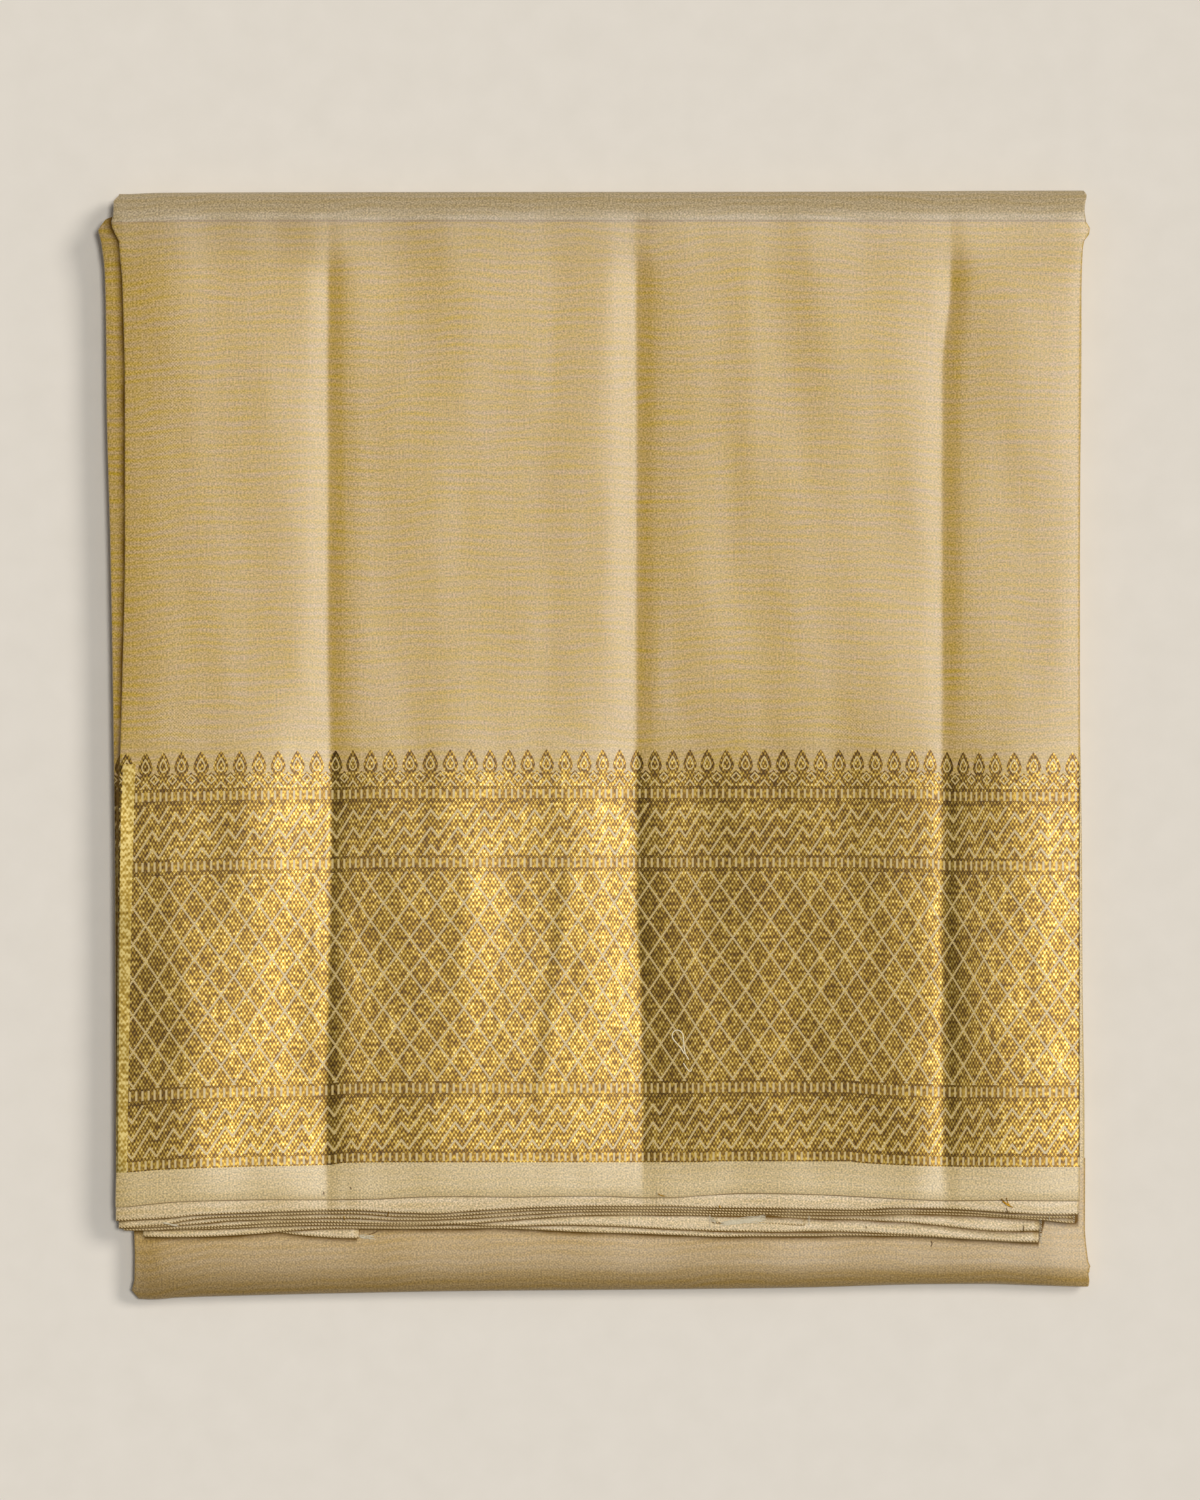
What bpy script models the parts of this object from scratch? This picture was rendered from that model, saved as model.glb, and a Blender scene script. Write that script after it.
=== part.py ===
"""Folded silk dhoti cloth with a woven gold border, lying flat as a packet.

The length is folded to and fro into a bundle of layers, and the bundle is folded again across
its width: a front flap over a back half, with the rest tucked between them.
Frame: +X across the packet, +Y towards the upper fold, +Z up. The origin is on the surface the
packet lies on, under the middle of its outline.
"""

import math

import bmesh
import bpy

MM = 0.001

# Thicknesses
WALL = 1.0 * MM                   # one visible stretch of cloth
GAP = 0.3 * MM                    # between stretches that touch or meet at a seam
LAYER = WALL + GAP                # from one layer's face to the next layer's face

# Heights above the surface
BACK_TOP = 11.0 * MM              # upper face of the back half where it shows below the flap
FLAP_TOP = (                      # upper face of the flap, before the soft panels puff up
    # up the packet, height, rise of the puffed panels (mm)
    (-229.0, 17.5, 0.0),
    (-209.0, 17.5, 0.6),
    (-193.0, 17.6, 0.9),
    (-100.0, 18.1, 1.3),
    (60.0, 18.5, 1.4),
    (200.0, 18.9, 1.1),
    (232.0, 19.3, 0.4),
    (240.8, 19.4, 0.2),
)

# Places along the packet
TOP_TIP = 255.7 * MM              # outermost line of the upper fold
FOLD_LINE = 240.8 * MM            # pressed line where the flap turns into the upper fold
SECOND_END = 240.0 * MM           # upper end of the second layer
BORDER_TOP = -4.6 * MM            # first pick of the gold border
LOWER_TURN = -238.0 * MM          # where the back half starts to turn into the lower fold
FLAP_CORE_END = -186.0 * MM       # lower end of the hidden layers inside the flap
BACK_CORE_STEP = -188.0 * MM      # below this only the back half's hidden layers go on
HIDDEN_END = -188.4 * MM          # hidden upper end of the stepped selvedges and of the lower band

# Pressed vertical creases, and the rolls at the sides that the puffed panels run down to
CREASES = (-122.8 * MM, 18.9 * MM, 160.1 * MM)
LEFT_ROLL = -219.0 * MM
RIGHT_ROLL = 223.5 * MM
WIDEST_PANEL = CREASES[1] - CREASES[0]

# Side edges, in mm from the middle, going down the packet
FLAP_SIDES = (
    # up, left, right
    (240.8, -222.4, 225.8),
    (236.7, -221.9, 228.0),
    (232.1, -219.1, 224.8),
    (214.4, -217.6, 223.9),
    (158.9, -216.2, 223.3),
    (89.9, -216.2, 223.1),
    (30.1, -217.6, 223.1),
    (-25.1, -219.0, 223.1),
    (-71.1, -219.4, 223.1),
    (-193.0, -220.3, 223.1),
    (-216.0, -220.8, 223.1),
)
SECOND_SIDES = (
    (240.0, -227.0, 222.0),
    (236.7, -228.8, 222.0),
    (232.1, -226.8, 222.0),
    (214.4, -225.6, 222.0),
    (158.9, -224.9, 222.0),
    (89.9, -223.1, 222.2),
    (9.0, -221.7, 222.4),
    (-25.1, -220.8, 222.4),
    (-220.0, -220.4, 222.6),
)
UPPER_FOLD_SIDES = (
    (255.7, -219.6, 226.0),
    (253.8, -221.5, 226.3),
    (248.0, -221.6, 225.3),
    (240.8, -222.4, 225.8),
)
BACK_SIDES = (
    (240.8, -221.0, 224.6),
    (60.0, -218.6, 223.8),
    (-71.1, -216.4, 224.5),
    (-181.5, -213.4, 226.3),
    (-222.0, -212.5, 225.6),
    (-235.4, -212.1, 227.1),
    (-242.4, -212.0, 228.8),
    (-244.4, -212.1, 227.6),
    (-247.1, -212.4, 227.9),
    (-251.3, -213.6, 228.0),
    (-255.7, -210.6, 228.0),
)

# Places along the packet where the flap's stretches have a row, in mm
FLAP_ROWS = (-150, -100, -50, 0, 60, 130, 200, 214.4, 223, 232.1, 236.7)

# Lower edges of the stacked layers, in mm, going across the packet
LOWER_EDGES = (
    # across, border's last pick, first, second, third, fourth, lowest layer, lower fold's tip
    (-221.0, -197.0, -212.6, -218.9, -222.4, -223.8, -227.0, -255.7),
    (-163.0, -193.7, -209.3, -215.7, -218.9, -221.9, -226.0, -253.7),
    (-122.0, -192.8, -209.1, -214.5, -217.6, -221.0, -225.0, -252.7),
    (-53.0, -191.7, -207.5, -214.5, -217.6, -221.0, -223.4, -251.5),
    (20.0, -191.6, -207.9, -212.1, -215.2, -222.4, -225.6, -250.9),
    (94.0, -191.4, -206.8, -213.1, -215.6, -223.6, -226.5, -250.0),
    (156.0, -193.4, -209.2, -213.1, -216.6, -225.0, -227.4, -248.6),
    (204.0, -193.7, -209.4, -216.1, -219.4, -227.0, -228.9, -248.8),
    (228.0, -193.7, -209.4, -216.2, -220.1, -227.2, -228.9, -249.6),
)
BORDER_END, FIRST, SECOND, THIRD, FOURTH, LOWEST, FOLD_TIP = range(1, 8)

# The stepped selvedges under the second layer: (name, column of LOWER_EDGES, layers down, left, right)
STEPPED_SELVEDGES = (
    ("third_selvedge", THIRD, 2, -218.8, 220.3),
    ("fourth_selvedge", FOURTH, 3, -216.0, 210.0),
    ("lowest_selvedge", LOWEST, 4, -207.5, 203.8),
)

# Folded edges of the hidden layers at the packet's sides, from the bottom up
SIDE_RIDGES = (
    # height of the ridge's crown in mm, which half it is in, how far it stands back from the edge in mm
    (2.3, "back", 0.2),
    (4.4, "back", 1.1),
    (6.5, "back", 0.0),
    (8.4, "back", 0.8),
    (11.2, "flap", 1.0),
    (13.3, "flap", 0.3),
)
RIDGE_DEPTH = 1.0 * MM            # from a ridge's crown in to the groove above it
GROOVE_RISE = 1.1 * MM            # from a ridge's crown up to the groove above it
FOLD_SLACK = 3.2 * MM             # from the hidden layers to the outer face at a fold's tip
CORE_BOTTOM = LAYER
CORE_BACK_TOP = BACK_TOP - LAYER
FLAP_TOP_INSET = 2.0 * MM         # from the flap's side edge to the hidden layers' top face
BACK_TOP_INSET = 14.0 * MM        # the same on the back half, past the points kept for the flap
SHELF_START = 5.0 * MM            # where the points kept for the flap lie on the back half's top
SHELF_STEP = 2.0 * MM

PANELS = len(CREASES) + 1
COLUMNS = 6 * PANELS              # grid columns across a visible stretch
CORE_COLUMNS = 3 * PANELS
FOLD_ANGLES = (0, 26, 50, 72)     # degrees of turn at which the hidden layers have a section
CORE_PLACES = (-110, -30, 50, 130, 200, 236)      # their sections between the folds, in mm
FOLD_ROWS = 10                    # grid rows round the upper fold
TURN_ROWS = 8                     # grid rows round the lower fold
BAND_ROWS = 3                     # grid rows from there up under the flap


# ---- Tables and small helpers ----

def read_table(table, place, column):
    """Value of a column at a place, in metres, straight between the table's rows."""
    rows = sorted(table)
    place_mm = place / MM
    if place_mm <= rows[0][0]:
        return rows[0][column] * MM
    for low, high in zip(rows, rows[1:]):
        if place_mm <= high[0]:
            share = (place_mm - low[0]) / (high[0] - low[0])
            return (low[column] + share * (high[column] - low[column])) * MM
    return rows[-1][column] * MM


def across(share, left, right):
    """Distance across at a share of the width, with the pressed creases at equal shares."""
    marks = (left, *CREASES, right)
    panel = min(int(share * PANELS), PANELS - 1)
    part = share * PANELS - panel
    return marks[panel] + part * (marks[panel + 1] - marks[panel])


def puff(x):
    """Arch of the soft panels between creases: 0 on a crease, 1 on the widest panel's crown."""
    marks = (LEFT_ROLL, *CREASES, RIGHT_ROLL)
    for left, right in zip(marks, marks[1:]):
        if x <= right or right == RIGHT_ROLL:
            share = max(-0.1, min(1.1, (x - left) / (right - left)))
            return 4 * share * (1 - share) * (right - left) / WIDEST_PANEL


def flap_top(x, y):
    """Upper face of the flap's first layer."""
    return read_table(FLAP_TOP, y, 1) + read_table(FLAP_TOP, y, 2) * puff(x)


def lower_edge(x, column):
    return read_table(LOWER_EDGES, x, column)


# ---- Making pieces ----

def make_material(name, color, roughness, metallic=0.0):
    material = bpy.data.materials.new(name)
    material.use_nodes = True
    shader = material.node_tree.nodes["Principled BSDF"]
    shader.inputs["Base Color"].default_value = (*color, 1)
    shader.inputs["Roughness"].default_value = roughness
    shader.inputs["Metallic"].default_value = metallic
    return material


def add_mesh_object(name, bm, material, collection):
    mesh = bpy.data.meshes.new(name)
    bm.to_mesh(mesh)
    bm.free()
    mesh.shade_smooth()
    piece = bpy.data.objects.new(name, mesh)
    piece.data.materials.append(material)
    collection.objects.link(piece)
    return piece


def add_stretch(name, columns, rows, place, material, collection):
    """A stretch of cloth: a grid laid out by place(across share, along share), given a wall.

    The grid is the outer face, and the wall goes inwards from it.
    """
    bm = bmesh.new()
    bmesh.ops.create_grid(bm, x_segments=columns, y_segments=rows, size=0.5)
    for vertex in bm.verts:
        vertex.co = place(vertex.co.x + 0.5, vertex.co.y + 0.5)
    piece = add_mesh_object(name, bm, material, collection)
    wall = piece.modifiers.new("wall", "SOLIDIFY")
    wall.thickness = WALL
    wall.offset = -1
    wall.use_even_offset = True
    return piece


def add_flap_stretch(name, low, high, sides, layers_down, material, collection):
    """A stretch lying in the flap between two edges, low(x) and high(x), some layers down."""
    inner_rows = [row * MM for row in FLAP_ROWS if low(0) < row * MM < high(0) - WALL]
    rows = len(inner_rows) + 1

    def place(across_share, along_share):
        guess = across(across_share, LEFT_ROLL, RIGHT_ROLL)
        y = (low(guess), *inner_rows, high(guess))[round(along_share * rows)]
        x = across(across_share, *sides(y))
        return x, y, flap_top(x, y) - layers_down * LAYER

    return add_stretch(name, COLUMNS, rows, place, material, collection)


def sides_of(table):
    return lambda y: (read_table(table, y, 1), read_table(table, y, 2))


# ---- The flap ----

def build_flap(silk, gold_weave, collection):
    flap_sides = sides_of(FLAP_SIDES)
    add_flap_stretch(
        "front_field", lambda x: BORDER_TOP + GAP, lambda x: FOLD_LINE - GAP,
        flap_sides, 0, silk, collection)
    add_flap_stretch(
        "front_border", lambda x: lower_edge(x, BORDER_END) + GAP, lambda x: BORDER_TOP,
        flap_sides, 0, gold_weave, collection)
    add_flap_stretch(
        "front_selvedge", lambda x: lower_edge(x, FIRST), lambda x: lower_edge(x, BORDER_END),
        flap_sides, 0, silk, collection)
    add_flap_stretch(
        "second_layer", lambda x: lower_edge(x, SECOND), lambda x: SECOND_END,
        sides_of(SECOND_SIDES), 1, silk, collection)
    for name, column, layers_down, left, right in STEPPED_SELVEDGES:
        add_flap_stretch(
            name, lambda x, edge=column: lower_edge(x, edge), lambda x: HIDDEN_END,
            lambda y, low=left, high=right: (low * MM, high * MM), layers_down, silk, collection)


# ---- The two folds and the underside ----

def build_upper_fold(silk, collection):
    """Outer layer over the upper fold: half an ellipse from the flap's fold line to the underside."""
    def place(across_share, along_share):
        turn = math.pi * along_share
        y = FOLD_LINE + (TOP_TIP - FOLD_LINE) * math.sin(turn)
        x = across(across_share, *sides_of(UPPER_FOLD_SIDES)(y))
        half = flap_top(x, FOLD_LINE) / 2
        return x, y, half + half * math.cos(turn)

    add_stretch("upper_fold", COLUMNS, FOLD_ROWS, place, silk, collection)


def build_lower_fold(silk, collection):
    """Back half's lower band: from the underside round the lower fold, then up under the flap."""
    rows = TURN_ROWS + BAND_ROWS

    def place(across_share, along_share):
        row = along_share * rows
        half = BACK_TOP / 2
        guess = across(across_share, LEFT_ROLL, RIGHT_ROLL)
        if row <= TURN_ROWS:
            turn = math.pi * row / TURN_ROWS
            y = LOWER_TURN + (lower_edge(guess, FOLD_TIP) - LOWER_TURN) * math.sin(turn)
            z = half - half * math.cos(turn)
        else:
            y = LOWER_TURN + (HIDDEN_END - LOWER_TURN) * (row - TURN_ROWS) / BAND_ROWS
            z = BACK_TOP
        return across(across_share, *sides_of(BACK_SIDES)(y)), y, z

    add_stretch("lower_fold", COLUMNS, rows, place, silk, collection)


def build_underside(silk, collection):
    """Outer layer of the back half, flat on the surface."""
    low = LOWER_TURN + GAP
    high = FOLD_LINE - GAP

    def place(across_share, along_share):
        y = low + along_share * (high - low)
        left, right = sides_of(BACK_SIDES)(y)
        return left + across_share * (right - left), y, WALL

    add_stretch("underside", 2, 8, place, silk, collection)


# ---- The hidden layers ----

def core_sections():
    """Sections of the hidden layers along the packet: (place along, turn in degrees, in flap?)."""
    lower_fold = [(LOWER_TURN, angle, False) for angle in reversed(FOLD_ANGLES)]
    step = [(BACK_CORE_STEP, 0, False), (FLAP_CORE_END, 0, True)]
    middle = [(place * MM, 0, True) for place in CORE_PLACES]
    upper_fold = [(FOLD_LINE, angle, True) for angle in FOLD_ANGLES]
    return lower_fold + step + middle + upper_fold


def core_point(x, section, height, crown):
    """A point of a section: height is its rest height, and crown the section's top there."""
    y, turn, in_flap = section
    middle = (CORE_BOTTOM + crown) / 2
    z = middle + (height - middle) * math.cos(math.radians(turn))
    if in_flap:
        reach = TOP_TIP - FOLD_SLACK - FOLD_LINE
    else:
        reach = lower_edge(x, FOLD_TIP) + FOLD_SLACK - LOWER_TURN
    return x, y + reach * math.sin(math.radians(turn)), z


def core_ring(section):
    """One closed section: the bottom from left to right, then up, back over the top and down."""
    y, _, in_flap = section
    back_left, back_right = sides_of(BACK_SIDES)(y)
    flap_left, flap_right = sides_of(FLAP_SIDES)(y)
    edges = {
        "back": (back_left + LAYER, back_right - LAYER),
        "flap": (flap_left + LAYER, flap_right - 2 * LAYER),
    }

    def crown(x):
        if in_flap:
            return flap_top(x, y) - 2 * LAYER
        return CORE_BACK_TOP

    def side(end):
        """Ridges of the folded edges going up: end 0 is the left side and 1 the right."""
        inwards = 1 - 2 * end
        points = []
        shelf = edges["back"][end] + inwards * SHELF_START
        for height, half, set_back in SIDE_RIDGES:
            for depth, rise in ((0, 0), (RIDGE_DEPTH, GROOVE_RISE)):
                x = edges[half][end] + inwards * (set_back * MM + depth)
                z = height * MM + rise
                if half == "flap" and not in_flap:
                    x = shelf
                    z = CORE_BACK_TOP
                    shelf += inwards * SHELF_STEP
                points.append(core_point(x, section, z, crown(x)))
        return points

    shares = [column / CORE_COLUMNS for column in range(CORE_COLUMNS + 1)]
    bottom_edges = (edges["back"][0] + RIDGE_DEPTH, edges["back"][1] - RIDGE_DEPTH)
    top_half, inset = ("flap", FLAP_TOP_INSET) if in_flap else ("back", BACK_TOP_INSET)
    top_edges = (edges[top_half][0] + inset, edges[top_half][1] - inset)
    bottom = []
    top = []
    for share in shares:
        low_x = across(share, *bottom_edges)
        bottom.append(core_point(low_x, section, CORE_BOTTOM, crown(low_x)))
        high_x = across(share, *top_edges)
        top.append(core_point(high_x, section, crown(high_x), crown(high_x)))
    return bottom + side(1) + top[::-1] + side(0)[::-1]


def build_hidden_layers(silk, collection):
    """A loft through the sections. Its sections are unlike each other, so its faces are made here."""
    bm = bmesh.new()
    rings = []
    for section in core_sections():
        rings.append([bm.verts.new(point) for point in core_ring(section)])
    for near, far in zip(rings, rings[1:]):
        count = len(near)
        for i in range(count):
            j = (i + 1) % count
            bm.faces.new((near[i], near[j], far[j], far[i]))
    bm.faces.new(rings[0][::-1])
    bm.faces.new(rings[-1])
    bmesh.ops.recalc_face_normals(bm, faces=bm.faces)
    add_mesh_object("hidden_layers", bm, silk, collection)


def build():
    for existing in list(bpy.data.objects):
        bpy.data.objects.remove(existing, do_unlink=True)
    collection = bpy.data.collections.new("folded_dhoti_cloth")
    bpy.context.scene.collection.children.link(collection)
    silk = make_material("cream_silk", (0.62, 0.50, 0.29), 0.5)
    inner_silk = make_material("inner_silk", (0.50, 0.39, 0.21), 0.6)
    gold_weave = make_material("gold_thread_weave", (0.45, 0.31, 0.09), 0.35, 0.6)
    build_flap(silk, gold_weave, collection)
    build_upper_fold(silk, collection)
    build_lower_fold(silk, collection)
    build_underside(silk, collection)
    build_hidden_layers(inner_silk, collection)


build()
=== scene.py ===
# %% [markdown]
# # A folded silk dhoti cloth
#
# The real object is one loom length of silk, pleated along its length and folded once across, so that a
# front flap lies on a back half. A wide band of gold thread is woven in along one edge. This lesson builds
# the cloth as thin shells over a fixed frame, weaves its patterns with shader nodes, and lights it so that
# silk and gold thread shine only where the cloth tilts.

import math

import bpy
import numpy as np
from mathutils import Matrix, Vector


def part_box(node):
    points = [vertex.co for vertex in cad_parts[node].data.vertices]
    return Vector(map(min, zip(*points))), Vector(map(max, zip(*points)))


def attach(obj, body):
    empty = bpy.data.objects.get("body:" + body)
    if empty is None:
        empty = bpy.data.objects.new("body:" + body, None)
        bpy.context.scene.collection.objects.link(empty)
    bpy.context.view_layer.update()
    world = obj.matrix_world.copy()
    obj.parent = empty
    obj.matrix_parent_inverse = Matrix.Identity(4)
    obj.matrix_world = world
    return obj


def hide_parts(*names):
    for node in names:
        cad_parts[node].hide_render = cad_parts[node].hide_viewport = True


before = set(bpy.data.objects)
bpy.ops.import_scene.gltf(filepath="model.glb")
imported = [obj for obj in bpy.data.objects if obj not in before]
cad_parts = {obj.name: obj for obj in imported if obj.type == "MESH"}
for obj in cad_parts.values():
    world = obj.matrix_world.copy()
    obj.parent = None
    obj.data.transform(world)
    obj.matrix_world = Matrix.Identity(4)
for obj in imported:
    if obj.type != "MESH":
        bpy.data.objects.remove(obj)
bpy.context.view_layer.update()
MM = 0.001


# %% [markdown]
# ## Numbers into smooth curves
# A fold or a cloth edge is set out the way a pattern cutter does it: a few measured points, and a smooth
# curve through them. A monotone cubic never swings past its points, so a flat stretch stays flat. Colours
# are written as the hex codes a painter would mix, and one function turns them to the linear values that
# shaders work in.

# %% Curves and colours
def along(points, at):
    """A smooth curve through (place, value) pairs, held level past both ends."""
    place, value = np.array(sorted(points), float).T
    step = np.diff(place)
    rise = np.diff(value) / step
    lean = np.zeros_like(value)
    both = rise[:-1] * rise[1:]
    lean[1:-1] = np.where(both > 0, 2 * both / np.where(both > 0, rise[:-1] + rise[1:], 1), 0)
    at = np.clip(np.asarray(at, float), place[0], place[-1])
    k = np.clip(np.searchsorted(place, at) - 1, 0, len(step) - 1)
    t = (at - place[k]) / step[k]
    return (value[k] * (1 + 2 * t) * (1 - t) ** 2 + value[k + 1] * t * t * (3 - 2 * t)
            + step[k] * (lean[k] * t * (1 - t) ** 2 - lean[k + 1] * t * t * (1 - t)))


def ease(low, high, at):
    """0 below low, 1 above high, with a soft start and stop."""
    t = np.clip((np.asarray(at, float) - low) / (high - low), 0, 1)
    return t * t * (3 - 2 * t)


def linear(code):
    """The linear RGBA value of an sRGB hex code."""
    parts = [int(code[i:i + 2], 16) / 255 for i in (1, 3, 5)]
    return tuple(p / 12.92 if p <= 0.04045 else ((p + 0.055) / 1.055) ** 2.4 for p in parts) + (1.0,)


print("halfway up an even rise:", float(along([(0, 0), (10, 1)], 5)), " mid grey is", linear("#808080")[0])

# %% [markdown]
# ## Camera
# A folded cloth is looked at from straight above, as it lies on a table. The camera hangs five metres up
# with a long lens, so the packet's sides hardly show and its outline isn't distorted.

# %% Camera straight above
CAMERA_HEIGHT = 5.0
PICTURE_HEIGHT = 0.69             # metres of table that the picture is tall, at the cloth's upper face
camera = bpy.data.objects.new("camera", bpy.data.cameras.new("camera"))
bpy.context.scene.collection.objects.link(camera)
camera.location = (0.0023, -0.0021, CAMERA_HEIGHT)
camera.data.sensor_fit = "VERTICAL"
camera.data.sensor_height = 24
camera.data.lens = 24 * (CAMERA_HEIGHT - 0.018) / PICTURE_HEIGHT
bpy.context.scene.camera = camera
print(f"lens {camera.data.lens:.1f} mm")

# %% [markdown]
# ## Table and light
# Silk and gold thread are judged under a soft light from one side and a second one nearly overhead. The
# side light draws the folds. The overhead one stands a little to the right, so cloth that leans right
# throws it back to the eye and cloth that leans left stays dark. A sun lamp with a wide angle is soft, and
# it lights the left and the right of the packet alike, as a big far softbox does.

# %% Table and light
world = bpy.data.worlds.new("studio")
world.use_nodes = True
world.node_tree.nodes["Background"].inputs["Color"].default_value = linear("#f4f1ec")
world.node_tree.nodes["Background"].inputs["Strength"].default_value = 0.20
bpy.context.scene.world = world
bpy.context.scene.view_settings.view_transform = "Standard"


def soft_light(name, strength, width, towards, tint):
    """A sun lamp that shines from `towards`, as wide as `width` degrees."""
    lamp = bpy.data.objects.new(name, bpy.data.lights.new(name, "SUN"))
    lamp.data.energy = strength
    lamp.data.angle = math.radians(width)
    lamp.data.color = linear(tint)[:3]
    lamp.rotation_euler = Vector(towards).to_track_quat("Z", "Y").to_euler()
    bpy.context.scene.collection.objects.link(lamp)
    return lamp


soft_light("side_light", 1.25, 22, (0.82, 0.42, 0.85), "#fff6ea")
soft_light("overhead_light", 1.35, 9, (0.155, 0.06, 1.0), "#fffaf2")

bpy.ops.mesh.primitive_plane_add(size=6, location=(0, 0, -0.0004))
table = bpy.context.object
table.name = "table"

# %% [markdown]
# ## Where the cloth goes
# The packet is one continuous skin: up the front flap, round the upper fold, back along the table, round
# the lower fold and up again to the band that shows below the flap. These tables give its heights and its
# two side edges in millimetres. They repeat the solid frame's own outline, with a little more shape.

# %% Outline of the packet, in mm
FOLD_LINE = 240.8                 # pressed line where the flap turns into the upper fold
LOWER_TURN = -238.0               # where the back half starts round the lower fold
BAND_END = -190.0                 # hidden upper end of the band below the flap
BAND_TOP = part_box("lower_fold")[1].z / MM
UPPER_REACH = 14.9                # how far the upper fold sticks out past its pressed line
LOWER_REACH = 17.2                # how far the lower fold sticks out past its own
SHELL = 0.35                      # thickness of a cloth shell, a little over the real 0.2
LIP = 0.6                         # radius of a folded edge

FLAP_TOP = [(-229, 17.5), (-193, 17.6), (-100, 18.1), (60, 18.5), (200, 18.9), (232, 19.3), (240.8, 19.4)]
UPPER_TIP = [(-221, 253.9), (-200, 254.7), (-100, 255.0), (100, 255.2), (226, 255.7)]
LOWER_TIP = [
    (-213, -255.2), (-204, -255.5), (-192, -254.6), (-163, -253.7), (-122, -252.7), (-53, -251.5),
    (20, -250.9), (94, -250.0), (156, -248.4), (180, -248.3), (204, -249.0), (228, -249.6)]

FLAP_LEFT = [
    (-216, -220.8), (-193, -220.4), (-71, -219.4), (-25, -219.0), (30, -217.6), (90, -216.4), (159, -216.4),
    (214, -217.6), (225, -218.6), (232, -219.1), (236.7, -221.6), (240.8, -222.6)]
FLAP_RIGHT = [
    (-216, 223.1), (90, 223.1), (159, 223.3), (214, 223.9), (228, 224.4), (232.5, 225.2), (236.7, 228.2),
    (240.8, 225.9)]
SECOND_LEFT = [
    (-220, -220.6), (-60, -220.9), (9, -221.7), (90, -223.1), (159, -224.9), (205, -225.3), (214, -225.6),
    (221, -225.9), (228, -226.8), (232, -227.4), (237.3, -228.7), (239.3, -227.3), (241.6, -225.6),
    (242.6, -224.6), (243.4, -221.8)]
UPPER_LEFT = [(240.8, -222.6), (244, -221.8), (248, -221.6), (252, -221.6), (255.7, -219.4)]
UPPER_RIGHT = [(240.8, 225.9), (246, 225.2), (250, 225.6), (253.8, 226.4), (255.7, 225.4)]
BACK_LEFT = [
    (-256, -210.4), (-253.5, -211.8), (-251.3, -213.6), (-247, -212.4), (-235.4, -212.1), (-222, -212.5),
    (-181, -213.4), (-71, -216.4), (60, -218.6), (240.8, -221.0)]
BACK_RIGHT = [
    (-256, 227.6), (-251.3, 227.9), (-247.1, 227.5), (-244.4, 227.4), (-242.4, 228.6), (-239, 227.6),
    (-235.4, 227.0), (-222, 225.8), (-181, 225.9), (-71, 224.5), (60, 223.8), (240.8, 224.6)]

# Lower edges of the stacked layers, going across: the last pick of the border, then the woven edges
BORDER_FOOT = [
    (-220.3, -196.7), (-200, -195.3), (-163, -193.9), (-122, -193.0), (-115, -192.1), (-90, -191.8),
    (48, -191.8), (57, -191.4), (117, -191.4), (122, -192.1), (159, -193.7), (177, -193.9), (223, -193.9)]
BORDER_TIP = [
    (-220.3, -4.4), (-200, -3.9), (-163, -3.2), (-122, -3.0), (-90, -2.5), (154, -2.5), (161, -3.7),
    (223, -3.9)]
FIRST_EDGE = [
    (-220.6, -212.5), (-202.6, -210.8), (-189.8, -209.8), (-168, -209.2), (-149, -208.9), (-130, -209.0),
    (-102, -208.7), (-89.7, -208.1), (-68.5, -207.4), (-36.9, -207.7), (-15.8, -207.4), (5.3, -207.4),
    (21.2, -208.0), (34.9, -208.0), (47.6, -207.2), (71.3, -206.0), (102, -206.6), (128, -207.9),
    (148, -208.9), (161.6, -209.4), (184, -209.2), (223.3, -209.5)]
SECOND_EDGE = [
    (-220.4, -218.9), (-206.9, -218.2), (-194.9, -217.4), (-182.9, -216.2), (-168, -215.6), (-151, -214.9),
    (-130, -214.3), (-112.7, -214.1), (-89.7, -215.2), (-73.9, -215.5), (-58, -214.5), (-39, -213.4),
    (-26.4, -212.8), (5.3, -212.2), (31.7, -212.2), (52.9, -212.9), (102, -213.5), (122.6, -213.9),
    (138, -213.0), (158.6, -213.3), (174, -214.0), (194.5, -215.3), (215, -216.1), (223.1, -215.9)]

THIRD_EDGE = [
    (-219.1, -222.4), (-206.1, -221.4), (-198.3, -220.8), (-189.8, -219.1), (-177.1, -217.6),
    (-163.3, -217), (-135.7, -216), (-112.7, -215.6), (-89.7, -216.9), (-74.1, -217), (-49.7, -215.6),
    (-26.7, -214.1), (5.3, -213.4), (42.3, -213.9), (75.9, -214.5), (102.1, -214.9), (122.6, -215.1),
    (140.3, -214.7), (167.9, -215.1), (195.5, -217.2), (219.9, -217.6)]
FOURTH_EDGE = [
    (-219.1, -222.5), (-200.1, -221.7), (-181.7, -220.3), (-163.3, -218.7), (-135.7, -218),
    (-112.7, -217.8), (-89.7, -218.7), (-58, -217.8), (-36.9, -216.5), (-22.1, -215.5), (5.3, -214.6),
    (37, -215), (75.9, -215.9), (98, -216.2), (122.6, -216.3), (143.1, -215.8), (167.9, -216.4),
    (204.7, -218.5), (220.2, -220)]
FIFTH_EDGE = [
    (-216.3, -223.4), (-206.9, -223.4), (-194, -222.7), (-177.7, -222), (-164, -221.1), (-144.9, -219.9),
    (-126.5, -219.6), (-112.7, -219.9), (-89.7, -220.4), (-63.3, -220.4), (-42.3, -219), (-15.8, -217),
    (5.3, -216.2), (39.1, -216.4), (75.9, -216.9), (98.9, -217.8), (122.6, -218.6), (143.2, -219.7),
    (163.7, -221.7), (179.1, -223.3), (189.4, -223.8), (204.8, -223.5)]
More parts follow.
